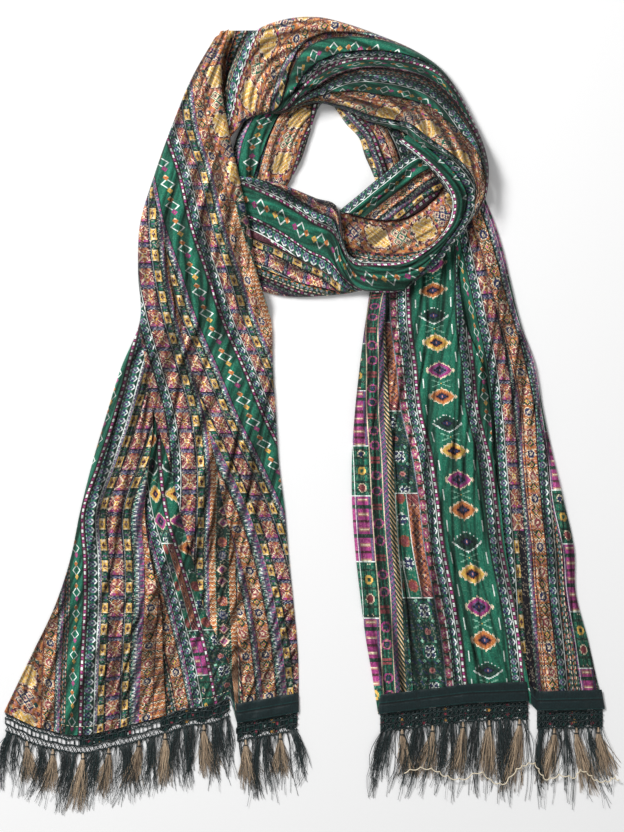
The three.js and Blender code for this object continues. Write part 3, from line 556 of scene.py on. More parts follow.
class Surface:
    """Heights of everything laid so far, on a square grid in the layout frame."""

    WIDTH = 640
    HEIGHT = 840
    REACH = 9.0
    SLOPE = 0.5
    GAP = 0.4
    FALLS = 34
    BLURS = 3
    BARE = 0.05

    def __init__(self, cell: float = 2.0) -> None:
        """Starts with a bare floor.

        Args:
            cell: size of a grid cell in millimetres.
        """
        self.cell = cell
        self.top = np.zeros((int(self.HEIGHT / cell), int(self.WIDTH / cell)))
        self.rest = self.top.copy()

    def cover(self, x: Array, y: Array, z: Array) -> None:
        """Takes in the points of a laid sheet.

        Args:
            x: layout x of the points.
            y: layout y of the points.
            z: heights of the points.
        """
        j = np.clip(np.round(y / self.cell).astype(int), 0, self.top.shape[0] - 1)
        i = np.clip(np.round(x / self.cell).astype(int), 0, self.top.shape[1] - 1)
        np.maximum.at(self.top, (j, i), z)

    @staticmethod
    def around(grid: Array, reach: int, **padding: str) -> list[Array]:
        """Copies of a grid, each moved by one of the steps within reach.

        Args:
            grid: values to move.
            reach: largest step each way, in cells.
            padding: how np.pad fills the rim.

        Returns:
            The copies, in rows of steps.
        """
        padded = np.pad(grid, reach, **padding)
        rows, columns = grid.shape
        steps = range(2 * reach + 1)
        return [padded[dj : dj + rows, di : di + columns] for dj in steps for di in steps]

    def settle(self) -> None:
        """Lays a skin over all that is there, which clears it and then falls at a slope."""
        reach = int(math.ceil(self.REACH / self.cell))
        wide = np.zeros_like(self.top)
        for index, moved in enumerate(self.around(self.top, reach)):
            dj, di = divmod(index, 2 * reach + 1)
            if (dj - reach) ** 2 + (di - reach) ** 2 <= reach * reach:
                wide = np.maximum(wide, moved)
        fall = self.SLOPE * self.cell
        for _ in range(self.FALLS):
            beside = self.around(wide, 1)[1::2]
            wide = np.max([wide, *(moved - fall for moved in beside)], axis=0)
        for _ in range(self.BLURS):
            wide = sum(self.around(wide, 1, mode="edge")) / 9.0
        self.rest = wide

    def read(self, grid: Array, x: Array, y: Array) -> Array:
        """Bilinear value of a grid.

        Args:
            grid: values on the surface's grid.
            x: layout x of the points.
            y: layout y of the points.

        Returns:
            Values at the points.
        """
        i = np.clip(x / self.cell, 0, grid.shape[1] - 2)
        j = np.clip(y / self.cell, 0, grid.shape[0] - 2)
        i0, j0 = np.floor(i).astype(int), np.floor(j).astype(int)
        fi, fj = i - i0, j - j0
        upper = grid[j0, i0] * (1 - fi) + grid[j0, i0 + 1] * fi
        lower = grid[j0 + 1, i0] * (1 - fi) + grid[j0 + 1, i0 + 1] * fi
        return upper * (1 - fj) + lower * fj

    def rest_at(self, x: Array, y: Array) -> Array:
        """Height that the next sheet rests at."""
        height = self.read(self.rest, x, y)
        return np.where(height > self.BARE, height + self.GAP, 0.0)

    def highest_at(self, x: Array, y: Array) -> Array:
        """Highest point in a cell or in those around it."""
        return self.read(np.max(self.around(self.top, 1), axis=0), x, y)


@dataclass
class Cell:
    """A column of faces: its band and the print coordinate on both of its sides."""

    band: Band
    left: Array
    right: Array
    changes: tuple
    start: int


@dataclass(frozen=True)
class Span:
    """A strip while it is laid: its place between two folds, and the strip before it."""

    strip: Strip
    before: Strip | None
    left: Array
    right: Array
    is_last: bool


@dataclass(frozen=True)
class Column:
    """A column of points: place, lift, print coordinates and the painted shade of a fold on it."""

    place: Array
    lift: Array
    across: Array
    travel: Array
    dark: Array


class Drape:
    """Lays one stretch: places its columns strip by strip and lifts them off what lies below."""

    EDGE_ROLL = 7.0
    LIP_REACH = 0.9
    TUCK = 1.6
    LIP_FALL = 2.4
    LIP_DROPS = ((0.3, 0.3), (0.15, 0.75))
    PILLOW = 1.3
    PILLOW_WIDTH = 14.0
    NARROW = 8.0
    HIDDEN = 0.01
    FADE = 6.0
    RIM = 5.0
    OVERHANG = 0.02
    FLOOR_GAP = 0.3
    SHADE_REACH = 3.0
    TROUGH_SHADE = 0.44
    CREASE_SWAY = 1.2
    CREASE_SWAY_LENGTH = 13.0
    WRINKLES = 13
    WRINKLE_DEPTH = 2.1
    WRINKLE_SPACING = (9, 30)
    WRINKLE_RUN = (35, 120)
    WRINKLE_SLANT = 0.1
    RIPPLE = 0.22

    def __init__(self, stretch: Stretch, surface: Surface) -> None:
        """Works out the lines across the stretch.

        Args:
            stretch: the stretch of cloth.
            surface: what it is laid on.
        """
        self.stretch = stretch
        self.surface = surface
        self.plan = Plan(stretch)
        self.rows = int(round(self.plan.length() / Layout.ALONG_STEP)) + 1
        self.along = np.linspace(0, 1, self.rows)
        ax, ay, bx, by, self.thick = self.plan.line(self.along)
        self.width = np.hypot(bx - ax, by - ay)
        self.ends = (ax, bx)
        self.places: list[Array] = []
        self.lifts: list[Array] = []
        self.cells: list[Cell] = []
        self.lengthwise: list[Array] = []
        self.shades: list[Array] = []

    def fold_place(self, values: Numbers) -> Array:
        """A table of places turned into millimetres from the a edge.

        Args:
            values: shares of the width, or layout x where the stretch's tables are in x.

        Returns:
            One place for each row of points.
        """
        wanted = spread_over(values, self.along)
        if self.stretch.in_x:
            ax, bx = self.ends
            wanted = (wanted - ax) / (bx - ax)
        return wanted * self.width

    def build(self) -> None:
        """Fills the columns and their cells."""
        left = np.zeros(self.rows)
        before = None
        last = len(self.stretch.strips) - 1
        for index, strip in enumerate(self.stretch.strips):
            right = self.width.copy()
            if index < last:
                right = np.clip(self.fold_place(strip.end), left, self.width)
            self.add_strip(Span(strip, before, left, right, index == last))
            left, before = right, strip

    def fade(self, place: Array) -> Array:
        """How much of a fold's relief is left near the edges of the cloth."""
        return smooth(np.minimum(place, self.width - place) / self.FADE)

    def add_strip(self, span: Span) -> None:
        """Adds the columns of one strip, with the lip of the fold on its b side.

        Args:
            span: the strip and its place.
        """
        strip, left, right = span.strip, span.left, span.right
        wide = right - left
        narrow = smooth(wide / self.NARROW)
        start_lift = np.zeros(self.rows)
        end_lift = np.zeros(self.rows)
        if span.before is not None:
            start_lift = -span.before.upper.value * span.before.step / 2 * self.fade(left)
        if not span.is_last:
            end_lift = strip.upper.value * strip.step / 2 * self.fade(right)
        offset = -sum(width for _, width in strip.bands[: strip.pinned])
        pin = self.fold_place(strip.pin or span.before.end)
        travel = self.travel(left, right) + strip.shift
        first = True
        for number, (band, width) in enumerate(strip.bands):
            low = np.clip(pin + offset, left, right) if number else left
            high = np.clip(pin + offset + width, left, right)
            if number == len(strip.bands) - 1:
                high = right
            count = max(2, int(round(width / Layout.ACROSS_STEP)))
            changes = tuple(change for change in strip.changes if change[0] == number)
            for step in range(count + 1):
                if step == 0 and not first:
                    continue
                place = low + (high - low) * step / count
                share = np.where(wide > self.HIDDEN, (place - left) / np.maximum(wide, self.HIDDEN), 0.0)
                bulge = self.PILLOW * np.sin(np.pi * share) * smooth(wide / self.PILLOW_WIDTH)
                lift = start_lift + (end_lift - start_lift) * share * narrow + bulge - strip.depth * narrow
                across = (place - pin - offset) / width * band.width
                shown = place + self.slide(span, place)
                # The column's last value is painted shade under the neighbouring folds.
                column = Column(shown, lift, across, travel, self.painted_fold_shade(span, place))
                self.add_column(column, band, changes, joined=not first)
                first = False
            offset += width
        if not span.is_last:
            self.add_lip(strip, right, travel)

    def slide(self, span: Span, place: Array) -> Array:
        """Sideways move near a fold: the upper side reaches out and the lower side tucks under.

        Args:
            span: the strip and its place.
            place: places across the cloth in millimetres.

        Returns:
            Moves towards the b edge in millimetres.
        """
        moved = np.zeros(self.rows)
        if not span.is_last:
            near = np.exp(-(span.right - place) / self.LIP_FALL) * self.fade(span.right)
            moved += near * (self.LIP_REACH if span.strip.upper is Side.A else self.TUCK)
        if span.before is not None:
            near = np.exp(-(place - span.left) / self.LIP_FALL) * self.fade(span.left)
            moved -= near * (self.TUCK if span.before.upper is Side.A else self.LIP_REACH)
        return moved

    def painted_fold_shade(self, span: Span, place: Array) -> Array:
        """Painted shade near a fold: how dark a point is painted where it lies under a neighbouring fold.

        Args:
            span: the strip and its place.
            place: places across the cloth in millimetres.

        Returns:
            Amounts of painted shade from 0 to 1.
        """
        dark = np.zeros(self.rows)
        if not span.is_last and span.strip.upper is Side.B:
            dark = dark + np.exp(-(span.right - place) / self.SHADE_REACH) * self.fade(span.right)
        if span.before is not None and span.before.upper is Side.A:
            dark = dark + np.exp(-(place - span.left) / self.SHADE_REACH) * self.fade(span.left)
        return np.clip(dark, 0, 1)

    def add_lip(self, strip: Strip, right: Array, travel: Array) -> None:
        """Two columns that round the fold's edge over.

        Args:
            strip: the strip before the fold.
            right: place of the fold.
            travel: print coordinate along the strip.
        """
        fade = self.fade(right)
        side = strip.upper.value
        top = strip.step / 2 * fade
        drops = self.LIP_DROPS if strip.upper is Side.A else self.LIP_DROPS[::-1]
        band = strip.bands[-1][0]
        for out, down in drops:
            place = right + side * (self.LIP_REACH + out) * fade
            lift = top - strip.step * down * fade
            # The lip's columns carry painted shade that deepens as they turn under the fold's edge.
            column = Column(place, lift, np.full(self.rows, band.width), travel, fade * down)
            self.add_column(column, band, (), joined=True)

    def add_column(self, column: Column, band: Band, changes: tuple, joined: bool) -> None:
        """Adds a column of points, and the cell between it and the column before it.

        Args:
            column: the points.
            band: band of the print on the cell.
            changes: changes of that band along the strip.
            joined: whether the column before belongs to the same strip.
        """
        across = column.across
        if self.places:
            left = self.last_across if joined and self.last_band is band else across - 1.0
            self.cells.append(Cell(band, left, across, changes, len(self.places) - 1))
        self.places.append(column.place)
        self.lifts.append(column.lift)
        self.lengthwise.append(column.travel)
        self.shades.append(column.dark)
        self.last_across = across
        self.last_band = band

    def travel(self, left: Array, right: Array) -> Array:
        """Print coordinate along a strip.

        Args:
            left: place of its fold on the a side.
            right: place of its fold on the b side.

        Returns:
            Millimetres from the start of the stretch.
        """
        if self.stretch.lengthwise:
            return spread_over(self.stretch.lengthwise, self.along)
        share = (left + right) / 2 / self.width
        x, y = self.plan.point(self.along, share)
        steps = np.hypot(np.diff(x), np.diff(y))
        return np.concatenate([[0.0], np.cumsum(steps)])

    def lay(self) -> tuple[Array, Array, Array, Array]:
        """Heights of all the columns.

        Returns:
            Arrays x, y and z in layout millimetres, one row per share of the length, and the painted
            shade of each point in folds and in crease and wrinkle troughs, from 0 to 1.
        """
        place = np.stack(self.places, axis=1)
        lift = np.stack(self.lifts, axis=1)
        width = self.width[:, None]
        reached = np.clip(place / width, -self.OVERHANG, 1 + self.OVERHANG)
        x, y = self.plan.point(self.along[:, None], reached)
        near = np.minimum(place, width - place)
        roll = np.minimum(self.EDGE_ROLL, width / 3)
        round_off = np.sqrt(np.clip(1 - (1 - np.clip(near / roll, 0, 1)) ** 2, 0, 1))
        end = np.minimum(self.along, 1 - self.along) / Layout.END_FADE
        end_fade = (Layout.END_SHARE + (1 - Layout.END_SHARE) * smooth(end))[:, None]
        inward = smooth(near / self.RIM)
        troughs = self.creased(x, y) + self.wrinkles(place)
        relief = (lift - troughs) * inward * end_fade
        heap = self.thick[:, None] * round_off * end_fade
        rest = self.surface.rest_at(x, y)
        z = rest + np.maximum(heap + relief, 0.0) + self.FLOOR_GAP
        # Painted shade: darker under neighbouring folds and in the troughs of creases and wrinkles.
        shade = np.stack(self.shades, axis=1) + np.clip(troughs, 0, 3) * self.TROUGH_SHADE
        return x, y, z, np.clip(shade, 0, 1)

    def creased(self, x: Array, y: Array) -> Array:
        """Depth of the listed creases.

        Args:
            x: layout x of the points.
            y: layout y of the points.

        Returns:
            Depths in millimetres.
        """
        depth = np.zeros_like(x)
        for x0, y0, x1, y1, width, deep in self.stretch.creases:
            dx, dy = x1 - x0, y1 - y0
            span = math.hypot(dx, dy)
            along = ((x - x0) * dx + (y - y0) * dy) / span
            across = ((x - x0) * dy - (y - y0) * dx) / span
            across = across + self.CREASE_SWAY * np.sin(along / self.CREASE_SWAY_LENGTH + x0)
            taper = smooth(along / span * 3) * smooth((span - along) / span * 3)
            depth += deep * np.exp(-((across / width) ** 2)) * taper
        return depth

    def wrinkles(self, place: Array) -> Array:
        """Depth of the small uneven wrinkles that run along the cloth.

        Args:
            place: places across the cloth in millimetres.

        Returns:
            Depths in millimetres.
        """
        random = np.random.default_rng(self.stretch.seed)
        travel = np.stack(self.lengthwise, axis=1)
        depth = np.zeros_like(place)
        for _ in range(self.WRINKLES):
            across = random.uniform(*self.WRINKLE_SPACING)
            along = random.uniform(*self.WRINKLE_RUN)
            slant = random.uniform(-self.WRINKLE_SLANT, self.WRINKLE_SLANT)
            start = random.uniform(0, 2 * np.pi, 3)
            wander = random.uniform(0.4, 1.5) * np.sin(travel / along + start[0])
            wave = np.abs(np.sin((place + slant * travel) * np.pi / across + wander + start[1]))
            patch = smooth(1.4 * np.sin(travel / (along * 1.3) + place / 23 + start[2]) - 0.1)
            reach = random.uniform(0.9, 2.2) * np.pi / across
            deep = self.WRINKLE_DEPTH * patch * np.exp(-((wave / reach) ** 2))
            depth += deep * random.uniform(0.5, 1.0)
            depth += self.RIPPLE * np.sin(2 * place * np.pi / across + start[2])
        return depth


class SheetMesh:
    """Turns laid columns into a Blender mesh with print maps and one material per band."""

    MERGE = 2e-3

    def __init__(self, drape: Drape) -> None:
        """Lays the drape's columns."""
        self.drape = drape
        self.x, self.y, self.z, self.shade = drape.lay()

    def vertex_ids(self) -> tuple[Array, Array]:
        """Point numbers, shared where points coincide.

        Returns:
            Numbers per row and column, and which points are new.
        """
        rows, columns = self.x.shape
        step = np.hypot(np.diff(self.x, axis=1), np.diff(self.y, axis=1)) + np.abs(np.diff(self.z, axis=1))
        is_new = np.ones((rows, columns), bool)
        is_new[:, 1:] = step > self.MERGE
        ids = np.cumsum(is_new.ravel()).reshape(rows, columns) - 1
        return ids, is_new

    def build(self, name: str, materials: list[Material]) -> Piece:
        """Makes the object.

        Args:
            name: piece name.
            materials: materials in the order of the bands.

        Returns:
            The object, linked to the scene.
        """
        ids, is_new = self.vertex_ids()
        points = Plan.to_row(self.x[is_new], self.y[is_new], self.z[is_new])
        order = {band: index for index, band in enumerate(Band)}
        faces, bands, prints, laid = [], [], [], []
        flipped = self.turned_over()
        for cell in self.drape.cells:
            c = cell.start
            travel = self.drape.lengthwise[c + 1]
            a, b = self.drape.places[c], self.drape.places[c + 1]
            for r in range(self.x.shape[0] - 1):
                ring = [ids[r, c], ids[r, c + 1], ids[r + 1, c + 1], ids[r + 1, c]]
                across = [cell.left[r], cell.right[r], cell.right[r + 1], cell.left[r + 1]]
                down = [travel[r], travel[r], travel[r + 1], travel[r + 1]]
                flat = list(zip((a[r], b[r], b[r + 1], a[r + 1]), down))
                corners = []
                for corner in range(4):
                    if ring[corner] not in [ring[k] for k in corners]:
                        corners.append(corner)
                if len(corners) < 3:
                    continue
                if flipped:
                    corners.reverse()
                faces.append([int(ring[k]) for k in corners])
                prints.extend((across[k], down[k]) for k in corners)
                laid.extend(flat[k] for k in corners)
                band = cell.band
                for _, share, other in cell.changes:
                    if self.drape.along[r] > share:
                        band = other
                bands.append(order[band])
        sheet = linked_mesh(name, points, faces, materials, {"print": prints, "cloth": laid})
        sheet.data.polygons.foreach_set("material_index", bands)
        # Painted shade of folds and crease troughs, stored on the points so the weave can darken the
        # colour.
        fold = sheet.data.attributes.new("fold", "FLOAT", "POINT")
        fold.data.foreach_set("value", self.shade[is_new].astype(np.float32))
        sheet.data.update()
        return sheet

    def turned_over(self) -> bool:
        """Whether faces wound row by row would look down.

        Returns:
            True if they have to be reversed.
        """
        x, y = self.x, -self.y
        ux, uy = x[:, -1] - x[:, 0], y[:, -1] - y[:, 0]
        middle = x.shape[1] // 2
        vx, vy = np.gradient(x[:, middle]), np.gradient(y[:, middle])
        return float((ux * vy - uy * vx).sum()) < 0

    def cut_size(self) -> tuple[float, float]:
        """Width and length of the cloth that the sheet was cut to, in metres."""
        across, along = (
            np.sqrt(sum(np.diff(part, axis=axis) ** 2 for part in (self.x, self.y, self.z)))
            for axis in (1, 0)
        )
        return float(across.sum(axis=1).mean() * MM), float(along.sum(axis=0).mean() * MM)


def linked_mesh(name: str, points: Array, faces: list, materials: list[Material], maps: dict) -> Piece:
    """Makes a smooth-shaded mesh object.

    Args:
        name: piece name.
        points: points in the row frame.
        faces: point numbers of each face.
        materials: materials in order.
        maps: name of each UV map and its values, face corner by face corner.

    Returns:
        The object, linked to the scene.
    """
    mesh = bpy.data.meshes.new(name)
    mesh.from_pydata(points.tolist(), [], faces)
    mesh.polygons.foreach_set("use_smooth", [True] * len(faces))
    for key, values in maps.items():
        layer = mesh.uv_layers.new(name=key)
        layer.data.foreach_set("uv", np.asarray(values, np.float32).ravel())
    for material in materials:
        mesh.materials.append(material)
    mesh.update()
    piece = bpy.data.objects.new(name, mesh)
    bpy.context.collection.objects.link(piece)
    return piece


def linear(code: str) -> tuple[float, float, float, float]:
    """A display colour as linear light.

    Args:
        code: hexadecimal red, green and blue, such as "1c6b4b".

    Returns:
        Red, green, blue and alpha from 0 to 1.
    """
    parts = [int(code[k : k + 2], 16) / 255 for k in (0, 2, 4)]
    light = [c / 12.92 if c <= 0.04045 else ((c + 0.055) / 1.055) ** 2.4 for c in parts]
    return (*light, 1.0)


# Dyes of the print.
GREEN = "1d6852"
DEEP_GREEN = "183b31"
TEAL = "234c48"
NAVY = "2b3259"
NIGHT = "1a1823"
MAGENTA = "a23d7d"
PINK = "b57b74"
ORANGE = "c07740"
RUST = "93513b"
YELLOW = "ddb258"
GOLD = "bb9460"
CREAM = "e4d2b4"
WHITE = "dde5df"
PURPLE = "5e5474"
GREY = "7f8792"
RED = "8d4349"
MAROON = "4d2832"
MINT = "7fb59d"


Operand = "Field | float"


class Field:
    """A number that varies over the cloth, held as an output of a node tree."""

    def __init__(self, tree: Tree, socket: Socket) -> None:
        """Keeps the tree and the output."""
        self.tree = tree
        self.socket = socket

    def math(self, operation: str, other: "Field | float | None" = None) -> "Field":
        """The result of a Math node.

        Args:
            operation: name of the operation.
            other: second operand, where it has one.

        Returns:
            The node's output.
        """
        node = self.tree.nodes.new("ShaderNodeMath")
        node.operation = operation
        self.tree.links.new(self.socket, node.inputs[0])
        if isinstance(other, Field):
            self.tree.links.new(other.socket, node.inputs[1])
        elif other is not None:
            node.inputs[1].default_value = other
        return Field(self.tree, node.outputs[0])

    def __add__(self, other: Operand) -> "Field":
        """Sum."""
        return self.math("ADD", other)

    def __sub__(self, other: Operand) -> "Field":
        """Difference."""
        return self.math("SUBTRACT", other)

    def __mul__(self, other: Operand) -> "Field":
        """Product."""
        return self.math("MULTIPLY", other)

    def __truediv__(self, other: Operand) -> "Field":
        """Quotient."""
        return self.math("DIVIDE", other)

    def __abs__(self) -> "Field":
        """Size without its sign."""
        return self.math("ABSOLUTE")

    def __lt__(self, other: Operand) -> "Field":
        """1 where this is less."""
        return self.math("LESS_THAN", other)

    def __gt__(self, other: Operand) -> "Field":
        """1 where this is greater."""
        return self.math("GREATER_THAN", other)

    def __and__(self, other: "Field") -> "Field":
        """1 where both masks are."""
        return self.math("MULTIPLY", other)

    def __or__(self, other: "Field") -> "Field":
        """1 where either mask is."""
        return self.math("MAXIMUM", other)

    def centred(self, period: float, start: float = 0.0) -> "Field":
        """Distance from the middle of the repeat that this lies in."""
        return (self + (period / 2 - start)).math("FLOORED_MODULO", period) - period / 2

    def turn(self, period: float, count: int, start: float = 0.0) -> "Field":
        """Number of the repeat, counted from 0 to count - 1."""
        return ((self + (period / 2 - start)) / period).math("FLOOR").math("FLOORED_MODULO", float(count))

    def near(self, value: float, reach: float = 0.5) -> "Field":
        """1 where this is within reach of value."""
        return abs(self - value) < reach

    def wave(self, length: float) -> "Field":
        """Triangle wave from 0 to 1."""
        return (self.math("PINGPONG", length / 2)) / (length / 2)


def dist(x: Field, y: Field) -> Field:
    """Distance from the origin."""
    return (x * x + y * y).math("SQRT")


class Cloth:
    """Node tree helper: the print coordinates of a piece and a colour painted in layers."""

    def __init__(self, tree: Tree, stitch: float = STITCH) -> None:
        """Reads the print map.

        Args:
            tree: node tree to build in.
            stitch: size of a stitch in millimetres.
        """
        self.tree = tree
        coordinates = tree.nodes.new("ShaderNodeUVMap")
        coordinates.uv_map = "print"
        parts = tree.nodes.new("ShaderNodeSeparateXYZ")
        tree.links.new(coordinates.outputs[0], parts.inputs[0])
        self.raw_u = Field(tree, parts.outputs[0])
        self.raw_v = Field(tree, parts.outputs[1])
        self.u = self.raw_u.math("SNAP", stitch) + stitch / 2
        self.v = self.raw_v.math("SNAP", stitch) + stitch / 2
        self.colour: Socket | None = None

    def rising(self, period: float, least: float) -> Field:
        """Slanting rows of stitches."""
        return (self.u + self.v).centred(period) > least

    def falling(self, period: float, least: float) -> Field:
        """Rows of stitches that slant the other way."""
        return (self.u - self.v).centred(period) > least

    def base(self, dye: str) -> None:
        """Sets the colour that everything else is painted on.

        Args:
            dye: display colour.
        """
        node = self.tree.nodes.new("ShaderNodeRGB")
        node.outputs[0].default_value = linear(dye)
        self.colour = node.outputs[0]

    def dye(self, dye: str, mask: Field) -> None:
        """Paints a colour where the mask is 1.

        Args:
            dye: display colour.
            mask: 1 where it is painted and 0 elsewhere.
        """
        self.colour = mixed(self.tree, mask.socket, self.colour, linear(dye))


def mixed(tree: Tree, share: Socket, base: "Socket | tuple", top: tuple) -> Socket:
    """Mixes two colours.

    Args:
        tree: node tree to build in.
        share: share of the top colour.
        base: colour below, or the output that gives it.
        top: colour above.

    Returns:
        The mixed colour.
    """
    node = tree.nodes.new("ShaderNodeMix")
    node.data_type = "RGBA"
    tree.links.new(share, node.inputs[0])
    if isinstance(base, tuple):
        node.inputs[6].default_value = base
    else:
        tree.links.new(base, node.inputs[6])
    node.inputs[7].default_value = top
    return node.outputs[2]


def draw_zig(c: Cloth, w: float) -> None:
    """Green band with small open white diamonds, each between an orange and a magenta or yellow flower.

    Args:
        c: cloth to paint.
        w: its width.
    """
    x, y = c.raw_u - w / 2, c.raw_v.centred(22)
    c.base(GREEN)
    c.dye(DEEP_GREEN, c.u.near(0.5, 0.9) | c.u.near(w - 0.5, 0.9))
    c.dye(WHITE, (abs(x) * 0.8 + abs(y)).near(5.0, 0.75))
    first = abs(x + 0.6) + abs(y + 6.6)
    second = abs(x - 0.6) + abs(y - 6.6)
    c.dye(GREEN, (first < 3.6) | (second < 3.6))
    parity = c.v.turn(22, 2)
    c.dye(ORANGE, first < 3.1)
    c.dye(CREAM, (first < 3.1) & (y + 6.6 < -1.3))
    c.dye(RUST, first < 0.9)
    c.dye(MAGENTA, (second < 3.1) & (parity < 0.5))
    c.dye(YELLOW, (second < 3.1) & (parity > 0.5))
    c.dye(PINK, second < 1.0)


def draw_flowers(c: Cloth, w: float) -> None:
    """Border of navy and green flower blocks between broken white scallops.

    Args:
        c: cloth to paint.
        w: its width.
    """
    x, y = c.raw_u - w / 2, c.raw_v.centred(8.5)
    c.base(DEEP_GREEN)
    parity = c.v.turn(8.5, 2)
    block = (abs(x) * 0.7 + abs(y)) < 3.5
    c.dye(GREEN, abs(x) < 1.7)
    c.dye(PURPLE, block)
    c.dye(NAVY, block & (parity < 0.5))
    c.dye(NAVY, (abs(x) + abs(y)) < 2.2)
    c.dye(GREY, (abs(abs(x) - abs(y)) < 0.4) & block)
    c.dye(MINT, dist(x, y) < 0.8)
    c.dye(WHITE, (x - 2.9 + abs(y) * 0.6).near(0, 0.6) & (abs(y) < 2.9))
    c.dye(MINT, (x + 3.3).near(0, 0.4) & (c.v.centred(4.4) > 0.2))
    c.dye(WHITE, c.raw_u.near(w - 0.3, 0.38))
    c.dye(NIGHT, c.raw_u.near(0.3, 0.6))


def draw_dashes(c: Cloth, w: float) -> None:
    """Maroon line with white and magenta dashes.

    Args:
        c: cloth to paint.
        w: its width.
    """
    c.base(MAROON)
    dash = c.v.centred(7)
    c.dye(WHITE, (abs(dash) < 1.5) & (abs(c.raw_u - w / 2) < 0.8))
    c.dye(MAGENTA, (abs(dash) > 2.5) & (abs(c.raw_u - w / 2) < 0.9))
    c.dye(DEEP_GREEN, c.raw_u < 0.5)


def draw_red_squares(c: Cloth, w: float) -> None:
    """Red and orange squares crossed in cream, with purple zigzags between them.

    Args:
        c: cloth to paint.
        w: its width.
    """
    x, y = c.u - w / 2, c.v.centred(21)
    between = c.v.centred(21, 10.5)
    ring = abs(x) + abs(y)
    diagonal = abs(abs(x) - abs(y))
    c.base(NIGHT)
    c.dye(NAVY, (abs(x) < 6.0) & (abs(between) < 1.5))
    c.dye(PURPLE, (abs(x) < 6.8) & ((between + abs(c.u.centred(4.4))).near(1.2, 0.8)))
    c.dye(GREY, (abs(x) < 6.0) & ((between - abs(c.u.centred(4.4))).near(0.2, 0.5)))
    square = (abs(x) < 6.8) & (abs(y) < 8.2)
    c.dye(RED, square)
    c.dye(ORANGE, square & (abs(y) > abs(x)) & (ring.centred(4.4) > 0.7))
    c.dye(MAROON, square & (abs(x) > abs(y)) & (ring.centred(4.4) > 0.9))
    c.dye(MAGENTA, square & (y > 5.2) & (abs(x) > 1.6))
    c.dye(DEEP_GREEN, square & (ring > 11.8) & (y < 0))
    c.dye(CREAM, square & (diagonal < 0.9) & (ring.centred(3.3) > -0.9))
    c.dye(PINK, square & diagonal.near(2.8, 0.8) & c.falling(4.4, 0.0))
    c.dye(CREAM, square & diagonal.near(5.2, 0.5) & c.rising(4.4, 0.6))
    c.dye(YELLOW, square & (ring < 2.8) & c.rising(3.3, -0.4))
    c.dye(MAROON, square & (ring < 1.2))


def draw_yellow_squares(c: Cloth, w: float) -> None:
    """Yellow flowers with a dark cross on green.

    Args:
        c: cloth to paint.
        w: its width.
    """
    x, y = c.u - w / 2, c.v.centred(21)
    between = c.v.centred(21, 10.5)
    c.base(DEEP_GREEN)
    c.dye(GREEN, (abs(x) < 2.0) & (abs(between) < 3.2))
    c.dye(PURPLE, (abs(between) < 0.9) & (abs(x) < 2.0))
    flower = (abs(x) < 2.9) & (abs(y) < 5.4)
    c.dye(GOLD, flower)
    c.dye(YELLOW, flower & ((abs(x) + abs(y)).centred(3.3) > -0.7))
    c.dye(CREAM, flower & (abs(y) > 3.9) & (abs(x) < 1.6))
    c.dye(MAROON, (dist(x, y) < 1.4) | ((abs(x) < 0.6) & (abs(y) < 3.0)))
    c.dye(GREY, c.raw_u.near(0.3, 0.35))
    c.dye(NIGHT, c.raw_u > w - 0.6)


def draw_rope(c: Cloth, w: float) -> None:
    """Purple and teal line with slanting pale and magenta stitches.

    Args:
        c: cloth to paint.
        w: its width.
    """
    c.base(PURPLE)
    c.dye(TEAL, c.raw_u < w * 0.42)
    c.dye(GREY, ((c.v + c.u * 0.8).centred(3.4) > 0.6) & (abs(c.raw_u - w / 2) < w * 0.3))
    c.dye(WHITE, ((c.v - c.u * 0.6).centred(4.4) > 0.9) & (abs(c.raw_u - w * 0.42) < 0.6))
    c.dye(MAGENTA, ((c.v + c.u * 0.6).centred(5.5) > 1.2) & (c.raw_u > w * 0.66))
    c.dye(MINT, c.rising(6.6, 2.0) & (c.raw_u < w * 0.3))
    c.dye(NIGHT, c.raw_u < 0.5)


def draw_medallions(c: Cloth, w: float) -> None:
    """Golden cloud medallions and key patterns on a ground of small orange and pink flowers.

    Args:
        c: cloth to paint.
        w: its width.
    """
    x, y = c.u - w / 2, c.v.centred(48)
    z = c.v.centred(48, 24)
    c.base(ORANGE)
    for period, reach, dye in (
        (5.3, 1.9, PINK),
        (8.2, 2.2, RUST),
        (9.4, 1.7, GOLD),
        (11.9, 2.0, TEAL),
        (13.1, 2.0, MAROON),
        (7.9, 1.1, CREAM),
        (15.7, 1.6, MAGENTA),
    ):
        c.dye(dye, dist(c.u.centred(period, period * 0.3), c.v.centred(period * 1.2, period)) < reach)
    lobes = dist(abs(x) - 4.6, abs(y) - 5.0).math("MINIMUM", dist(x, y) * 0.68)
    c.dye(MAROON, lobes.near(7.4, 0.6))
    c.dye(CREAM, lobes < 7.0)
    c.dye(PINK, lobes.near(6.4, 0.6) & c.rising(4.4, 0.6))
    c.dye(YELLOW, lobes < 5.4)
    c.dye(GOLD, (lobes < 4.4) & c.rising(5.5, 1.5))
    c.dye(CREAM, (lobes < 4.8) & ((c.v - c.u).centred(5.5) > 1.2))
    c.dye(ORANGE, (lobes < 1.8) & ((c.v - c.u).centred(4.4) > 0.0))
    c.dye(MAROON, dist(abs(x) - 9.2, abs(y) - 8.8) < 1.4)
    parity = c.v.turn(48, 2, 24)
    tile = abs(abs(x) - 4.6) + abs(abs(z) - 4.4)
    middle = abs(x) + abs(z)
    key = tile.math("MINIMUM", middle)
    c.dye(CREAM, key < 5.2)
    c.dye(NAVY, key.near(3.9, 0.65) & (parity < 0.5))
    c.dye(GREEN, key.near(3.9, 0.65) & (parity > 0.5))
    c.dye(PINK, key < 2.2)
    c.dye(NAVY, (key < 1.1) & (parity < 0.5))
    c.dye(DEEP_GREEN, (key < 1.1) & (parity > 0.5))
    c.dye(RUST, c.raw_u.near(0.4, 0.7) | c.raw_u.near(w - 0.4, 0.7))


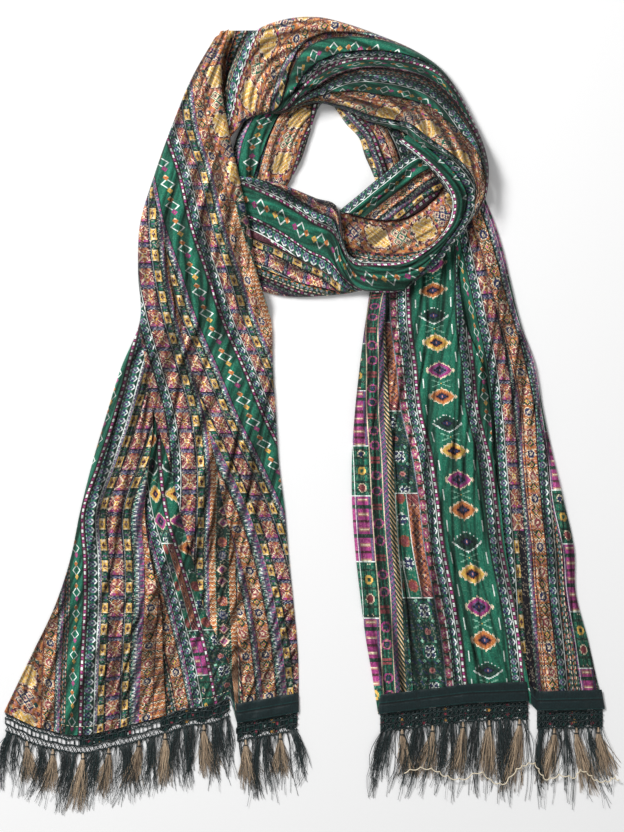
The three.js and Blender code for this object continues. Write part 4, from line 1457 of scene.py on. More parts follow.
def draw_floral(c: Cloth, w: float) -> None:
    """Narrow orange band with zigzag stitches and flowers in red, navy and green.

    Args:
        c: cloth to paint.
        w: its width.
    """
    x, y = c.u - w / 2, c.v.centred(21)
    zigzag = c.v + abs(c.u.centred(3.4)) * 1.4
    c.base(ORANGE)
    c.dye(CREAM, zigzag.centred(5.1) > 1.3)
    c.dye(RUST, zigzag.centred(5.1) < -1.3)
    c.dye(DEEP_GREEN, zigzag.centred(10.2) < -3.6)
    c.dye(PINK, zigzag.centred(15.3) > 6.4)
    turn = c.v.turn(21, 2)
    c.dye(CREAM, dist(x, y) < 4.6)
    c.dye(NAVY, (dist(x, y) < 4.0) & (turn < 0.5))
    c.dye(RED, (dist(x, y) < 4.0) & (turn > 0.5))
    c.dye(CREAM, (dist(x, y) < 1.9) & c.rising(3.3, -0.6))
    half = abs(x) + abs(c.v.centred(21, 10.5))
    c.dye(DEEP_GREEN, half < 4.4)
    c.dye(YELLOW, half < 2.6)
    c.dye(MAGENTA, half < 1.4)
    c.dye(MAROON, c.raw_u.near(0.3, 0.6) | c.raw_u.near(w - 0.3, 0.6))


def draw_panel(c: Cloth, w: float) -> None:
    """Orange zigzag stripes beside a dark middle with flowers and magenta diamonds.

    Args:
        c: cloth to paint.
        w: its width.
    """
    x, y = c.u - w / 2, c.v.centred(60)
    side = abs(x)
    c.base(DEEP_GREEN)
    stripe = side > 6.6
    c.dye(ORANGE, stripe)
    c.dye(CREAM, stripe & ((c.v + abs(c.u.centred(3.3)) * 1.4).centred(4.4) > 1.3))
    c.dye(RUST, stripe & ((c.v + abs(c.u.centred(3.3)) * 1.4).centred(4.4) < -1.5))
    flower = dist(x, y + 16)
    c.dye(RED, flower < 5.0)
    c.dye(ORANGE, flower.near(3.6, 1.0) & c.rising(2.4, 0))
    c.dye(NAVY, dist(x, y + 2) < 4.4)
    c.dye(GREY, dist(x, y + 2).near(2.6, 0.6))
    for start in (12.0, 24.0):
        shape = abs(x) * 1.1 + abs(y - start)
        c.dye(CREAM, shape < 6.0)
        c.dye(RUST, shape.near(5.2, 0.4))
        c.dye(MAGENTA, shape < 3.8)
        c.dye(PURPLE, shape < 1.6)
    c.dye(MINT, side.near(6.6, 0.5) & (c.v.centred(3.3) > 0))


def draw_diamonds(c: Cloth, w: float) -> None:
    """Wide green band with a row of ragged diamonds in four colours.

    Args:
        c: cloth to paint.
        w: its width.
    """
    x, y = c.u - w / 2, c.v.centred(27.5)
    turn = c.v.turn(27.5, 4)
    c.base(GREEN)
    c.dye(DEEP_GREEN, c.raw_u.near(0.5, 0.7) | c.raw_u.near(w - 0.5, 0.7))
    shape = (abs(x) * 0.62 + abs(y)) * 0.6 + dist(x * 0.66, y) * 0.4
    coloured = turn.near(0) | turn.near(2) | turn.near(3)
    spikes = c.u.centred(4.4) > 0.0
    c.dye(CREAM, ((shape < 8.6) | (spikes & (shape < 9.5))) & coloured)
    c.dye(WHITE, shape.near(8.8, 0.7) & turn.near(1) & ((y > 0) | (c.u.centred(3.3) > 0.2)))
    middle = shape < 7.9
    for index, dye in enumerate((ORANGE, DEEP_GREEN, YELLOW, MAGENTA)):
        c.dye(dye, middle & turn.near(index))
    c.dye(RUST, (shape < 5.0) & turn.near(0))
    c.dye(ORANGE, (shape < 4.8) & turn.near(2))
    c.dye(PURPLE, (shape < 5.2) & turn.near(3))
    c.dye(NIGHT, (abs(x) * 0.62 + abs(y)) < 4.1)
    c.dye(NAVY, (abs(x) * 0.6 + abs(y)) < 2.6)
    c.dye(PINK, dist(x, y) < 1.0)
    half = c.v.centred(27.5, 13.75)
    cross_turn = c.v.turn(27.5, 4, 13.75)
    gap = cross_turn.near(1) | cross_turn.near(3)
    cross = (abs(abs(x) * 0.42 - abs(half)) < 0.62) & (abs(x) > 1.8) & (abs(x) < 9.0) & (abs(half) < 3.8)
    c.dye(MINT, cross & gap)
    c.dye(YELLOW, (dist(x, half) < 0.9) & gap)
    c.dye(WHITE, (abs(abs(x) - 17.5) < 0.7) & (abs(half) < 5.4))


def draw_rings(c: Cloth, w: float) -> None:
    """Dusky magenta brackets and blocks on dark green between cream lines.

    Args:
        c: cloth to paint.
        w: its width.
    """
    x, y = c.u - w / 2, c.v.centred(14.5)
    c.base(DEEP_GREEN)
    c.dye(GREEN, (abs(x) < 5) & (c.u.centred(3.3) > 0.4))
    ring = dist(x, y * 1.1)
    parity = c.v.turn(14.5, 3)
    c.dye(MAGENTA, (ring < 4.8) & (parity > 0.5))
    c.dye(PINK, (ring < 4.8) & (parity > 0.5) & c.rising(4.4, 0.8))
    c.dye(DEEP_GREEN, ring.near(2.4, 0.8))
    c.dye(NAVY, (ring < 1.6) & (parity > 0.5))
    c.dye(RED, (abs(x) < 4.4) & (abs(y) < 3.0) & (parity < 0.5))
    c.dye(DEEP_GREEN, (abs(y) < 0.6) & (parity < 0.5))
    c.dye(CREAM, c.raw_u.near(0.6, 0.42) | c.raw_u.near(w - 0.5, 0.42))


def draw_twill(c: Cloth, w: float) -> None:
    """Slanting stitches, purple and green on one side and pale yellow on the other.

    Args:
        c: cloth to paint.
        w: its width.
    """
    c.base(PURPLE)
    c.dye(TEAL, (c.raw_v - c.raw_u * 0.9).centred(4.2) > 0.6)
    c.dye(MAGENTA, ((c.raw_v + c.raw_u).centred(5.2) > 1.8) & (c.u < w * 0.4))
    right = c.u > w * 0.46
    slant = (c.raw_v - c.raw_u * 1.5).centred(4.6)
    c.dye(DEEP_GREEN, right)
    c.dye(GOLD, right & (slant > 0.3))
    c.dye(CREAM, right & (slant > 1.5))


def draw_boxes(c: Cloth, w: float) -> None:
    """Dark green with pale flowers, and framed cells with blue and red flowers.

    Args:
        c: cloth to paint.
        w: its width.
    """
    x, y = c.u - w / 2, c.v.centred(170, 80)
    long_cell = abs(y) > 45
    framed = abs(y) < 45
    flower = c.v.centred(34)
    c.base(DEEP_GREEN)
    c.dye(TEAL, (c.u.centred(4.4) + c.v.centred(5.5)) > 1.3)
    c.dye(NAVY, c.falling(6.6, 2.0) & (c.v.centred(9.9) > 0))
    c.dye(GREEN, dist(x, flower * 0.8).near(6.2, 0.6) & long_cell)
    petal = dist(abs(x) - 2.4, abs(flower) - 2.6)
    c.dye(WHITE, petal.near(2.3, 0.6) & long_cell & c.rising(3.3, -0.9))
    c.dye(NAVY, (petal < 1.6) & long_cell)
    c.dye(PINK, (dist(x, c.v.centred(34, 17)) < 2.6) & long_cell)
    c.dye(RED, (dist(x, c.v.centred(34, 17)) < 1.5) & long_cell)
    c.dye(MINT, (abs(abs(x) - 6.5) + abs(c.v.centred(17, 8)) < 1.7) & long_cell)
    left = c.u < w * 0.5
    cell, cell_turn = c.v.centred(19), c.v.turn(19, 2)
    offset = c.u - w * 0.25
    round_off = dist(offset * 1.1, cell)
    c.dye(GREEN, framed & left)
    ragged = (c.u - c.v).centred(3.3) > -0.7
    c.dye(WHITE, framed & left & (round_off < 5.4) & (cell_turn < 0.5) & ragged)
    c.dye(NAVY, framed & left & (dist(abs(offset) - 2.0, abs(cell) - 2.1) < 1.9) & (cell_turn < 0.5))
    c.dye(RUST, framed & left & (round_off < 5.2) & (cell_turn > 0.5))
    c.dye(RED, framed & left & (round_off < 3.6) & (cell_turn > 0.5))
    right = c.u > w * 0.54
    leaf = (abs(c.u - w * 0.78) * 1.1 + abs(c.v.centred(12))) < 5.4
    c.dye(RUST, framed & right)
    c.dye(MAROON, framed & right & leaf)
    c.dye(ORANGE, framed & right & c.rising(4.4, 0.4))
    c.dye(RED, framed & right & (abs(y) > 36))
    c.dye(MAROON, framed & right & (abs(y) > 36) & c.falling(6.6, 1.0))
    c.dye(PINK, framed & right & c.falling(5.5, 1.6))
    c.dye(CREAM, framed & right & (dist(c.u - w * 0.78, c.v.centred(12)) < 1.0))
    c.dye(WHITE, framed & (c.raw_u.near(w * 0.52, 0.4) | c.raw_u.near(0.4, 0.4)))
    c.dye(WHITE, abs(c.raw_v.centred(170, 80)).near(45, 0.5))


def draw_blocks(c: Cloth, w: float) -> None:
    """Edge of magenta blocks with pale dashes, and green blocks with round flowers.

    Args:
        c: cloth to paint.
        w: its width.
    """
    x, y = c.u - w / 2, c.v.centred(104, 28)
    c.base(GREEN)
    c.dye(DEEP_GREEN, (c.v.centred(7.7) > 0.6) | (c.u.centred(4.4) > 1.2))
    magenta = abs(y) < 28
    c.dye(MAGENTA, magenta)
    c.dye(MAROON, magenta & (abs(c.v.centred(13, 9)) < 1.2))
    c.dye(PURPLE, magenta & (abs(x).near(6.2, 0.8)))
    c.dye(PINK, magenta & (abs(c.v.centred(13, 3)) < 1.4) & (abs(x) < 5.5))
    c.dye(CREAM, magenta & (abs(c.v.centred(13, 3)) < 0.6) & (abs(x) < 4.5))
    c.dye(DEEP_GREEN, magenta & (abs(c.v.centred(26, 9)) < 1.6))
    rounds, turn = c.v.centred(16, 8), c.v.turn(16, 3, 8)
    spot = dist(x, rounds)
    outside = abs(y) > 30
    c.dye(CREAM, outside & (spot < 4.2) & turn.near(0))
    c.dye(RED, outside & (spot < 3.4) & turn.near(0))
    c.dye(CREAM, outside & (spot < 3.9) & turn.near(1) & c.rising(3.3, 0.0))
    c.dye(NAVY, outside & (spot < 2.4) & turn.near(1))
    c.dye(YELLOW, outside & spot.near(2.9, 1.1) & turn.near(2))
    c.dye(WHITE, abs(y).near(28.5, 0.5) | c.raw_u.near(0.3, 0.3))


def draw_roses(c: Cloth, w: float) -> None:
    """Vine of red and pink roses with grey and white stitches.

    Args:
        c: cloth to paint.
        w: its width.
    """
    x, y = c.u - w / 2, c.v.centred(12)
    c.base(MAROON)
    c.dye(DEEP_GREEN, abs(c.v.centred(12, 6)) < 1.6)
    c.dye(RED, dist(x * 0.9, y * 0.8) < 3.9)
    c.dye(MAGENTA, dist(x, y) < 3.2)
    c.dye(PINK, (dist(x, y) < 3.0) & c.falling(3.3, 0.4))
    c.dye(CREAM, (dist(x, y) < 1.0) | (dist(x - 2.4, y - 3.6) < 0.7))
    c.dye(WHITE, c.u.near(w - 0.7, 0.6) & (c.v.centred(9) > -1.5))
    c.dye(GREY, c.u.near(0.6, 0.6))


def draw_shade(c: Cloth, w: float) -> None:
    """Painted shade: a dark ground standing in for cloth in shadow inside folds, with scattered stitches
    of the print.

    Args:
        c: cloth to paint.
        w: its width; not used.
    """
    # Painted shade: the deep green ground and the night stripes stand in for shadow in folds.
    c.base(DEEP_GREEN)
    c.dye(NIGHT, c.raw_u.centred(7) > 2.0)
    c.dye(GREEN, (c.u.centred(4.6, 2.0) > 0.8) & (c.v.centred(11) > -2))
    c.dye(RED, (c.u.centred(5.6, 1.0) > 1.4) & (c.v.centred(9) > 1))
    c.dye(GREY, (c.u.centred(6.4, 3.0) > 1.9) & (c.v.centred(5) > 0.5))
    c.dye(ORANGE, (abs(c.u.centred(9, 4)) < 0.7) & (c.v.centred(6) > 0.6))
    c.dye(CREAM, (abs(c.u.centred(7, 1)) < 0.6) & (c.v.centred(4.4) > 0.2))


DRAWERS = {
    ZIG: draw_zig,
    FLOWERS: draw_flowers,
    DASHES: draw_dashes,
    RED_SQUARES: draw_red_squares,
    YELLOW_SQUARES: draw_yellow_squares,
    ROPE: draw_rope,
    MEDALLIONS: draw_medallions,
    FLORAL: draw_floral,
    PANEL: draw_panel,
    DIAMONDS: draw_diamonds,
    PART_DIAMONDS: draw_diamonds,
    RINGS: draw_rings,
    TWILL: draw_twill,
    BOXES: draw_boxes,
    BLOCKS: draw_blocks,
    ROSES: draw_roses,
    SHADE: draw_shade,
}


USUAL_PALE = 0.8
# Share of pale stitches in the bands that have fewer than the rest.
PALE_STITCHES = {
    ZIG: 0.06,
    DIAMONDS: 0.06,
    PART_DIAMONDS: 0.06,
    FLOWERS: 0.15,
    DASHES: 0.1,
    TWILL: 0.1,
    SHADE: 0.5,
    BLOCKS: 0.2,
    RINGS: 0.2,
    BOXES: 0.3,
}


def draw_braid(c: Cloth, w: float) -> None:
    """Ribs across the two bands of the hem braid.

    Args:
        c: cloth to paint.
        w: depth of one band in millimetres.
    """
    c.base("071f21")
    c.dye("041417", c.u.centred(1.6) > 0.3)
    c.dye("0f3232", c.v.centred(10.5, 4) > 3.4)
    c.dye("040f11", abs(c.v - w) < 0.8)


def draw_backing(c: Cloth, w: float) -> None:
    """Scattered spots on dark cloth.

    Args:
        c: cloth to paint.
        w: spacing of its green threads in millimetres.
    """
    c.base("081d1e")
    c.dye("123a33", (c.u.centred(w) + c.v.centred(4.7)) > 1.8)
    c.dye("7b3340", (dist(c.u.centred(21, 4), c.v.centred(9, 3)) < 1.7))
    c.dye("b98a4a", (dist(c.u.centred(43, 15), c.v.centred(11, 6)) < 2.2))
    c.dye("aeb8b4", (dist(c.u.centred(17, 9), c.v.centred(8, 6)) < 0.9))


def new_material(name: str, roughness: float, sheen: float = 0.0) -> tuple[Material, Node]:
    """Makes a material with nodes.

    Args:
        name: material name.
        roughness: how matt it is.
        sheen: weight of its sheen.

    Returns:
        The material and its shader.
    """
    material = bpy.data.materials.new(name)
    material.use_nodes = True
    shader = material.node_tree.nodes["Principled BSDF"]
    shader.inputs["Roughness"].default_value = roughness
    shader.inputs["Sheen Weight"].default_value = sheen
    return material, shader


@dataclass(frozen=True)
class Weave:
    """The woven surface that every cloth shares: a tint near 1 that also paints shade in creases and
    folds, a height and pale stitches.
    """

    shade_scale: float = 38.0
    crumple_scale: tuple = (0.24, 0.042, 1.0)
    crumple_turn: float = 0.03
    crumple_twist: float = 0.7
    darkest: float = 0.25
    fold_shade: float = -0.85

    def make(self) -> Tree:
        """Builds the node group.

        Returns:
            Group with outputs Tint, Height and Pale.
        """
        group = bpy.data.node_groups.new("woven_surface", "ShaderNodeTree")
        for output in ("Tint", "Height", "Pale"):
            group.interface.new_socket(output, in_out="OUTPUT", socket_type="NodeSocketFloat")
        out = group.nodes.new("NodeGroupOutput")
        cloth = Cloth(group)
        stitch = self.stitches(group, cloth)
        broad = self.shading(group)
        crumple = self.crumples(group)
        thread = cloth.raw_u.wave(STITCH) * cloth.raw_v.wave(STITCH)
        # The fold attribute holds painted shade of folds and crease troughs.
        fold = group.nodes.new("ShaderNodeAttribute")
        fold.attribute_name = "fold"
        depth = Field(group, fold.outputs["Fac"])
        # Painted shade in the tint: darker in the crumple creases and between threads, following the
        # height, and where the fold attribute is high.
        tint = stitch * 0.55 + broad * 0.7 + crumple * 1.8 + thread * 0.12 - 0.45
        tint = tint.math("MAXIMUM", self.darkest) * (depth * self.fold_shade + 1.08)
        height = thread * 0.3 + crumple * 4.2 + stitch * 0.15
        pale = (stitch > 0.8) * (broad * 0.7)
        for output, value in (("Tint", tint), ("Height", height), ("Pale", pale)):
            group.links.new(value.socket, out.inputs[output])
        return group

    def stitches(self, group: Tree, cloth: Cloth) -> Field:
        """A random value for each stitch.

        Args:
            group: node group to build in.
            cloth: its print coordinates.

        Returns:
            Values from 0 to 1.
        """
        joined = group.nodes.new("ShaderNodeCombineXYZ")
        group.links.new(cloth.u.socket, joined.inputs[0])
        group.links.new(cloth.v.socket, joined.inputs[1])
        white = group.nodes.new("ShaderNodeTexWhiteNoise")
        white.noise_dimensions = "2D"
        group.links.new(joined.outputs[0], white.inputs["Vector"])
        return Field(group, white.outputs["Value"])

    def crumples(self, group: Tree) -> Field:
        """Long narrow creases of washed cloth, drawn out along it; they give the bump and painted crease
        shade in the tint.

        Args:
            group: node group to build in.

        Returns:
            Values near 0.5.
        """
        place = group.nodes.new("ShaderNodeUVMap")
        place.uv_map = "cloth"
        turned = group.nodes.new("ShaderNodeMapping")
        turned.inputs["Scale"].default_value = self.crumple_scale
        turned.inputs["Rotation"].default_value = (0.0, 0.0, self.crumple_turn)
        group.links.new(place.outputs[0], turned.inputs["Vector"])
        noise = self.noise(group, turned.outputs[0], 1.0, 3.0)
        noise.inputs["Distortion"].default_value = self.crumple_twist
        return Field(group, noise.outputs[0])

    def shading(self, group: Tree) -> Field:
        """Soft uneven shading over the whole piece."""
        place = group.nodes.new("ShaderNodeTexCoord")
        return Field(group, self.noise(group, place.outputs["Object"], self.shade_scale, 2.0).outputs[0])

    @staticmethod
    def noise(group: Tree, place: Socket, scale: float, detail: float) -> Node:
        """A noise node.

        Args:
            group: node group to build in.
            place: coordinates that it reads.
            scale: features for each unit of them.
            detail: how fine it goes.

        Returns:
            The node.
        """
        noise = group.nodes.new("ShaderNodeTexNoise")
        noise.inputs["Scale"].default_value = scale
        noise.inputs["Detail"].default_value = detail
        group.links.new(place, noise.inputs["Vector"])
        return noise


@dataclass(frozen=True)
class Fabric:
    """Woven cloth: a pattern drawn at a width, and how matt, glossy, rough and pale it is."""

    name: str
    group_name: str
    draw: Callable
    width: float
    roughness: float = 0.72
    sheen: float = 0.12
    height: float = 0.6
    pale: float = 0.0
    stitch: float = STITCH

    BUMP = 0.0008
    GLOSS = 0.25

    def pattern(self) -> Tree:
        """Builds the pattern's node group.

        Returns:
            Group with the output Colour.
        """
        group = bpy.data.node_groups.new(self.group_name, "ShaderNodeTree")
        group.interface.new_socket("Colour", in_out="OUTPUT", socket_type="NodeSocketColor")
        out = group.nodes.new("NodeGroupOutput")
        cloth = Cloth(group, self.stitch)
        self.draw(cloth, self.width)
        group.links.new(cloth.colour, out.inputs["Colour"])
        return group

    def make(self, woven: Tree) -> Material:
        """Makes the material.

        Args:
            woven: node group of the weave.

        Returns:
            The material.
        """
        material, shader = new_material(self.name, self.roughness, self.sheen)
        tree = material.node_tree
        shader.inputs["Specular IOR Level"].default_value = self.GLOSS
        colour, weave = (tree.nodes.new("ShaderNodeGroup") for _ in range(2))
        colour.node_tree = self.pattern()
        weave.node_tree = woven
        share = Field(tree, weave.outputs["Pale"]) * self.pale
        stitched = mixed(tree, share.socket, colour.outputs[0], linear(CREAM))
        tinted = tree.nodes.new("ShaderNodeVectorMath")
        tinted.operation = "SCALE"
        tree.links.new(stitched, tinted.inputs[0])
        tree.links.new(weave.outputs["Tint"], tinted.inputs["Scale"])
        tree.links.new(tinted.outputs[0], shader.inputs["Base Color"])
        bump = tree.nodes.new("ShaderNodeBump")
        bump.inputs["Strength"].default_value = self.height
        bump.inputs["Distance"].default_value = self.BUMP
        tree.links.new(weave.outputs["Height"], bump.inputs["Height"])
        tree.links.new(bump.outputs[0], shader.inputs["Normal"])
        return material


@dataclass(frozen=True)
class Thread:
    """Thread whose strands vary between a dark and a light colour."""

    name: str
    dark: str
    light: str
    roughness: float = 0.42

    def make(self) -> Material:
        """Makes the material.

        Returns:
            The material.
        """
        material, shader = new_material(self.name, self.roughness, 0.1)
        tree = material.node_tree
        shade = tree.nodes.new("ShaderNodeAttribute")
        shade.attribute_name = "shade"
        colour = mixed(tree, shade.outputs["Fac"], linear(self.dark), linear(self.light))
        tree.links.new(colour, shader.inputs["Base Color"])
        return material


@dataclass(frozen=True)
class Plain:
    """A finish of one colour."""

    name: str
    colour: tuple
    roughness: float

    def make(self) -> Material:
        """Makes the material."""
        material, shader = new_material(self.name, self.roughness)
        shader.inputs["Base Color"].default_value = (*self.colour, 1)
        return material


def printed(band: Band) -> Fabric:
    """The printed cloth of one band."""
    pale = PALE_STITCHES.get(band, USUAL_PALE)
    return Fabric(f"print_{band.key}", f"band_{band.key}", DRAWERS[band], band.width, pale=pale)


BRAID = Fabric("teal_braid", "braid_colour", draw_braid, 9.7, 0.5, 0.2, 0.5, stitch=0.4)
BACKING_CLOTH = Fabric("net_backing", "backing_colour", draw_backing, 6.3, 0.8, 0.1, 0.3)
TEAL_THREAD = Thread("teal_thread", "050f11", "14393a")
GOLD_THREAD = Thread("gold_thread", "5f4a38", "dcc3a4")
CREAM_THREAD = Thread("cream_thread", "b59a72", "f3e6cb", 0.5)
FLOOR = Plain("floor_white", (0.93, 0.93, 0.93), 0.9)


class StrandMesh:
    """Many thin tubes gathered into one mesh, each with its own shade."""

    FLOOR_CLEARANCE = 0.25

    def __init__(self, name: str) -> None:
        """Starts an empty mesh.

        Args:
            name: piece name.
        """
        self.name = name
        self.points: list[Array] = []
        self.faces: list[list[int]] = []
        self.shades: list[float] = []
        self.count = 0

    def add(self, path: Numbers, radius: Numbers | float, shade: float, sides: int = 3) -> None:
        """Adds a tube.

        Args:
            path: array of layout points (x, y, z) in millimetres.
            radius: array of radii along it.
            shade: 0 dark to 1 light.
            sides: sides of the tube.
        """
        path = np.asarray(path, float)
        ahead = np.gradient(path, axis=0)
        ahead /= np.maximum(np.linalg.norm(ahead, axis=1, keepdims=True), 1e-9)
        side = np.cross(ahead, [0.0, 0.0, 1.0])
        side /= np.maximum(np.linalg.norm(side, axis=1, keepdims=True), 1e-9)
        up = np.cross(side, ahead)
        radius = np.broadcast_to(radius, (len(path),))[:, None]
        rings = []
        for k in range(sides):
            angle = 2 * math.pi * k / sides + math.pi / 2
            ring = path + radius * (side * math.cos(angle) + up * math.sin(angle))
            ring[:, 2] = np.maximum(ring[:, 2], self.FLOOR_CLEARANCE)
            rings.append(ring)
        block = np.stack(rings, axis=1).reshape(-1, 3)
        base = self.count
        for r in range(len(path) - 1):
            near = base + r * sides
            for k in range(sides):
                n = (k + 1) % sides
                self.faces.append([near + k, near + n, near + sides + n, near + sides + k])
        last = base + (len(path) - 1) * sides
        self.faces.append([last + k for k in range(sides)])
        self.faces.append([base + k for k in reversed(range(sides))])
        self.points.append(block)
        self.shades.extend([shade] * len(block))
        self.count += len(block)

    def build(self, material: Material) -> Piece:
        """Makes the object.

        Args:
            material: its thread.

        Returns:
            The object, linked to the scene.
        """
        points = Plan.to_row(*np.concatenate(self.points).T)
        piece = linked_mesh(self.name, points, self.faces, [material], {})
        shade = piece.data.attributes.new("shade", "FLOAT", "POINT")
        shade.data.foreach_set("value", self.shades)
        return piece


@dataclass(frozen=True)
class Net:
    """A net header under a hem, with the locks that hang from it."""

    name: str
    tail: Stretch
    start: float
    end: float
    open: bool
    reach: float
    far_reach: float
    lean_start: float
    lean_end: float


NETS = (
    Net("net_left_outer", LEFT_TAIL, 0.005, 0.765, True, 56, 62, -0.2, 0.05),
    Net("net_left_inner", LEFT_TAIL, 0.79, 0.995, True, 64, 56, 0, 0.16),
    Net("net_right_inner", RIGHT_TAIL, 0.01, 0.662, False, 62, 82, -0.2, 0),
    Net("net_right_outer", RIGHT_TAIL, 0.7, 0.99, False, 76, 70, 0, 0.1),
)


@dataclass(frozen=True)
class Backing:
    """Solid cloth behind part of a net: shares of the net's length and a depth in millimetres."""

    net: str
    start: float
    end: float
    depth: float


BACKINGS = (
    Backing("net_right_inner", 0.0, 1.0, 16.5),
    Backing("net_right_outer", 0.0, 1.0, 16.5),
    Backing("net_left_outer", 0.33, 0.56, 11.0),
    Backing("net_left_outer", 0.69, 1.0, 13.5),
    Backing("net_left_inner", 0.0, 1.0, 14.0),
)


@dataclass(frozen=True)
class GoldTassel:
    """A gold tassel tied under a net, at a share of the net's length."""

    net: str
    at: float
    length: float


# Place along the net and length of each gold tassel.
TASSEL_ROWS = {
    "net_left_outer": (
        (0.1, 40), (0.22, 40), (0.35, 52), (0.47, 44),
        (0.59, 44), (0.72, 46), (0.88, 52),
    ),
    "net_left_inner": ((0.16, 50), (0.7, 42)),
    "net_right_inner": ((0.16, 40), (0.34, 46), (0.57, 48), (0.74, 60), (0.95, 66)),
    "net_right_outer": ((0.24, 52), (0.6, 58), (0.9, 44)),
}
GOLD_TASSELS = tuple(
    GoldTassel(net, at, length) for net, row in TASSEL_ROWS.items() for at, length in row
)


@dataclass(frozen=True)
class FringeSizes:
    """Sizes of the net header, its locks and the gold tassels, in millimetres."""

    hem_gap: float = 0.7
    net_rows: tuple = (0.0, 4.0, 10.0, 17.0)
    cell: float = 4.3
    cord_radius: float = 0.8
    mesh_radius: float = 0.42
    strand_radius: float = 0.36
    strands_per_lock: int = 19
    gold_strands: int = 64
    gold_head: float = 8.0
    gold_head_width: float = 4.4
    wave: float = 2.6
    wave_length: float = 15.0
    variation: float = 0.12
    knot_radius: float = 1.15
    wrap_depths: tuple = (5.2, 5.9)


def unevenness(index: float) -> float:
    """The small difference in length from one lock to the next, from -1 to 1."""
    return math.sin(index * 2.4) * 0.6 + math.sin(index * 5.1 + 1) * 0.4


class Fringe:
    """Builds nets, locks and gold tassels under the hems."""

    def __init__(self, sizes: FringeSizes) -> None:
        """Keeps the sizes and starts the random draws."""
        self.sizes = sizes
        self.random = np.random.default_rng(29)

    def line(self, net: Net) -> tuple[Array, Array]:
        """Points of the net's upper edge.

        Args:
            net: the net.

        Returns:
            Layout x and y, one more than it has cells.
        """
        plan = Plan(net.tail)
        ax, ay, bx, by, _ = plan.line(np.array([1.0]))
        width = float(np.hypot(bx - ax, by - ay)[0])
        cells = int(round(width * (net.end - net.start) / self.sizes.cell))
        share = np.linspace(net.start, net.end, cells + 1)
        x, y = plan.point(np.ones(cells + 1), share)
        return x, y + self.sizes.hem_gap

    @staticmethod
    def first_cell(tassel: GoldTassel, cells: int) -> int:
        """First of the four cells that a gold tassel takes up."""
        return int(round(tassel.at * cells - 2))

    def lean(self, net: Net, share: float, length: float, x: float) -> float:
        """How far the tip of a lock or tassel lies to the side of its root.

        Args:
            net: the net that it hangs from.
            share: its place along the net.
            length: its length in millimetres.
            x: layout x of its root.

        Returns:
            Millimetres to the right.
        """
        lean = (net.lean_start + (net.lean_end - net.lean_start) * share) * length
        return lean + self.sizes.wave * math.sin(x / self.sizes.wave_length)

    def build_net(self, net: Net, mesh: StrandMesh) -> None:
        """Cords and crossed threads of the header, and its locks.

        Args:
            net: the net.
            mesh: mesh that takes its threads.
        """
        x, y = self.line(net)
        s = self.sizes
        cells = len(x) - 1
        fine = np.linspace(0, cells, cells * 3 + 1)
        for row, depth in enumerate(s.net_rows):
            px = np.interp(fine, np.arange(cells + 1), x)
            py = np.interp(fine, np.arange(cells + 1), y) + depth
            wobble = 0.5 * np.sin(fine * 1.7 + row * 2) + 0.35 * np.sin(fine * 0.6 + row)
            pz = 1.2 + 0.4 * np.sin(fine * 2.3 + row)
            mesh.add(np.stack([px, py + wobble, pz], 1), s.cord_radius, 0.2 + 0.2 * (row % 2), 5)
        for i in range(cells):
            for way in (0, 1):
                for row in range(len(s.net_rows) - 1):
                    top, bottom = s.net_rows[row], s.net_rows[row + 1]
                    if net.open and row == 1 and i % 2 == 1 and way:
                        continue
                    x0, x1 = (x[i], x[i + 1]) if way else (x[i + 1], x[i])
                    y0, y1 = (y[i], y[i + 1]) if way else (y[i + 1], y[i])
                    if net.open and row == 1:
                        x0 = x1 = x[i] + 0.6 * self.random.uniform(-1, 1)
                        y0 = y1 = y[i]
                    path = np.linspace([x0, y0 + top, 1.4], [x1, y1 + bottom, 1.6], 4)
                    path[1:3, 0] += self.random.uniform(-0.4, 0.4)
                    mesh.add(path, s.mesh_radius, self.random.uniform(0, 0.5), 4)
        taken = [self.first_cell(tassel, cells) for tassel in GOLD_TASSELS if tassel.net == net.name]
        for i in range(cells):
            share = (i + 0.5) / cells
            reach = net.reach + (net.far_reach - net.reach) * share
            length = reach * (1 + s.variation * unevenness(i))
            gold = any(first <= i < first + 4 for first in taken)
            count = s.strands_per_lock // 4 if gold else s.strands_per_lock
            root = ((x[i] + x[i + 1]) / 2, (y[i] + y[i + 1]) / 2 + s.net_rows[-1])
            self.add_lock(mesh, root, length, self.lean(net, share, length, x[i]), count)

    def add_lock(self, mesh: StrandMesh, root: tuple, length: float, lean: float, count: int) -> None:
        """One loose lock: strands from a knot that spread towards their tips.

        Args:
            mesh: mesh that takes the strands.
            root: layout x and y of the knot.
            length: length in millimetres.
            lean: how far the tip lies to the side.
            count: number of strands.
        """
        x, y = root
        r = self.random
        t = np.linspace(0, 1, 7)
        knot = np.array([[x, y - 0.8, 1.5], [x, y + 1.4, 1.5]])
        mesh.add(knot, self.sizes.knot_radius, 0.15, 5)
        spread = r.normal(0, 5.0)
        curl = r.normal(0, 2.8)
        for _ in range(count):
            own = length * r.uniform(0.42, 1.04)
            tip = lean * own / length + spread + r.normal(0, 3.6)
            bow = r.normal(0, 2.2)
            px = x + r.uniform(-0.9, 0.9) + tip * t**1.25 + (bow + curl) * np.sin(np.pi * t)
            px = px + r.normal(0, 0.8) * np.sin(2.4 * np.pi * t + curl)
            py = y + own * t
            pz = r.uniform(0.5, 2.8) * (1 - 0.4 * t) + 0.3 + 0.7 * np.sin(np.pi * t) * r.uniform(0, 1)
            radius = self.sizes.strand_radius * r.uniform(0.75, 1.3) * (1 - 0.45 * t)
            mesh.add(np.stack([px, py, pz], 1), radius, float(np.clip(r.normal(0.3, 0.25), 0, 1)))

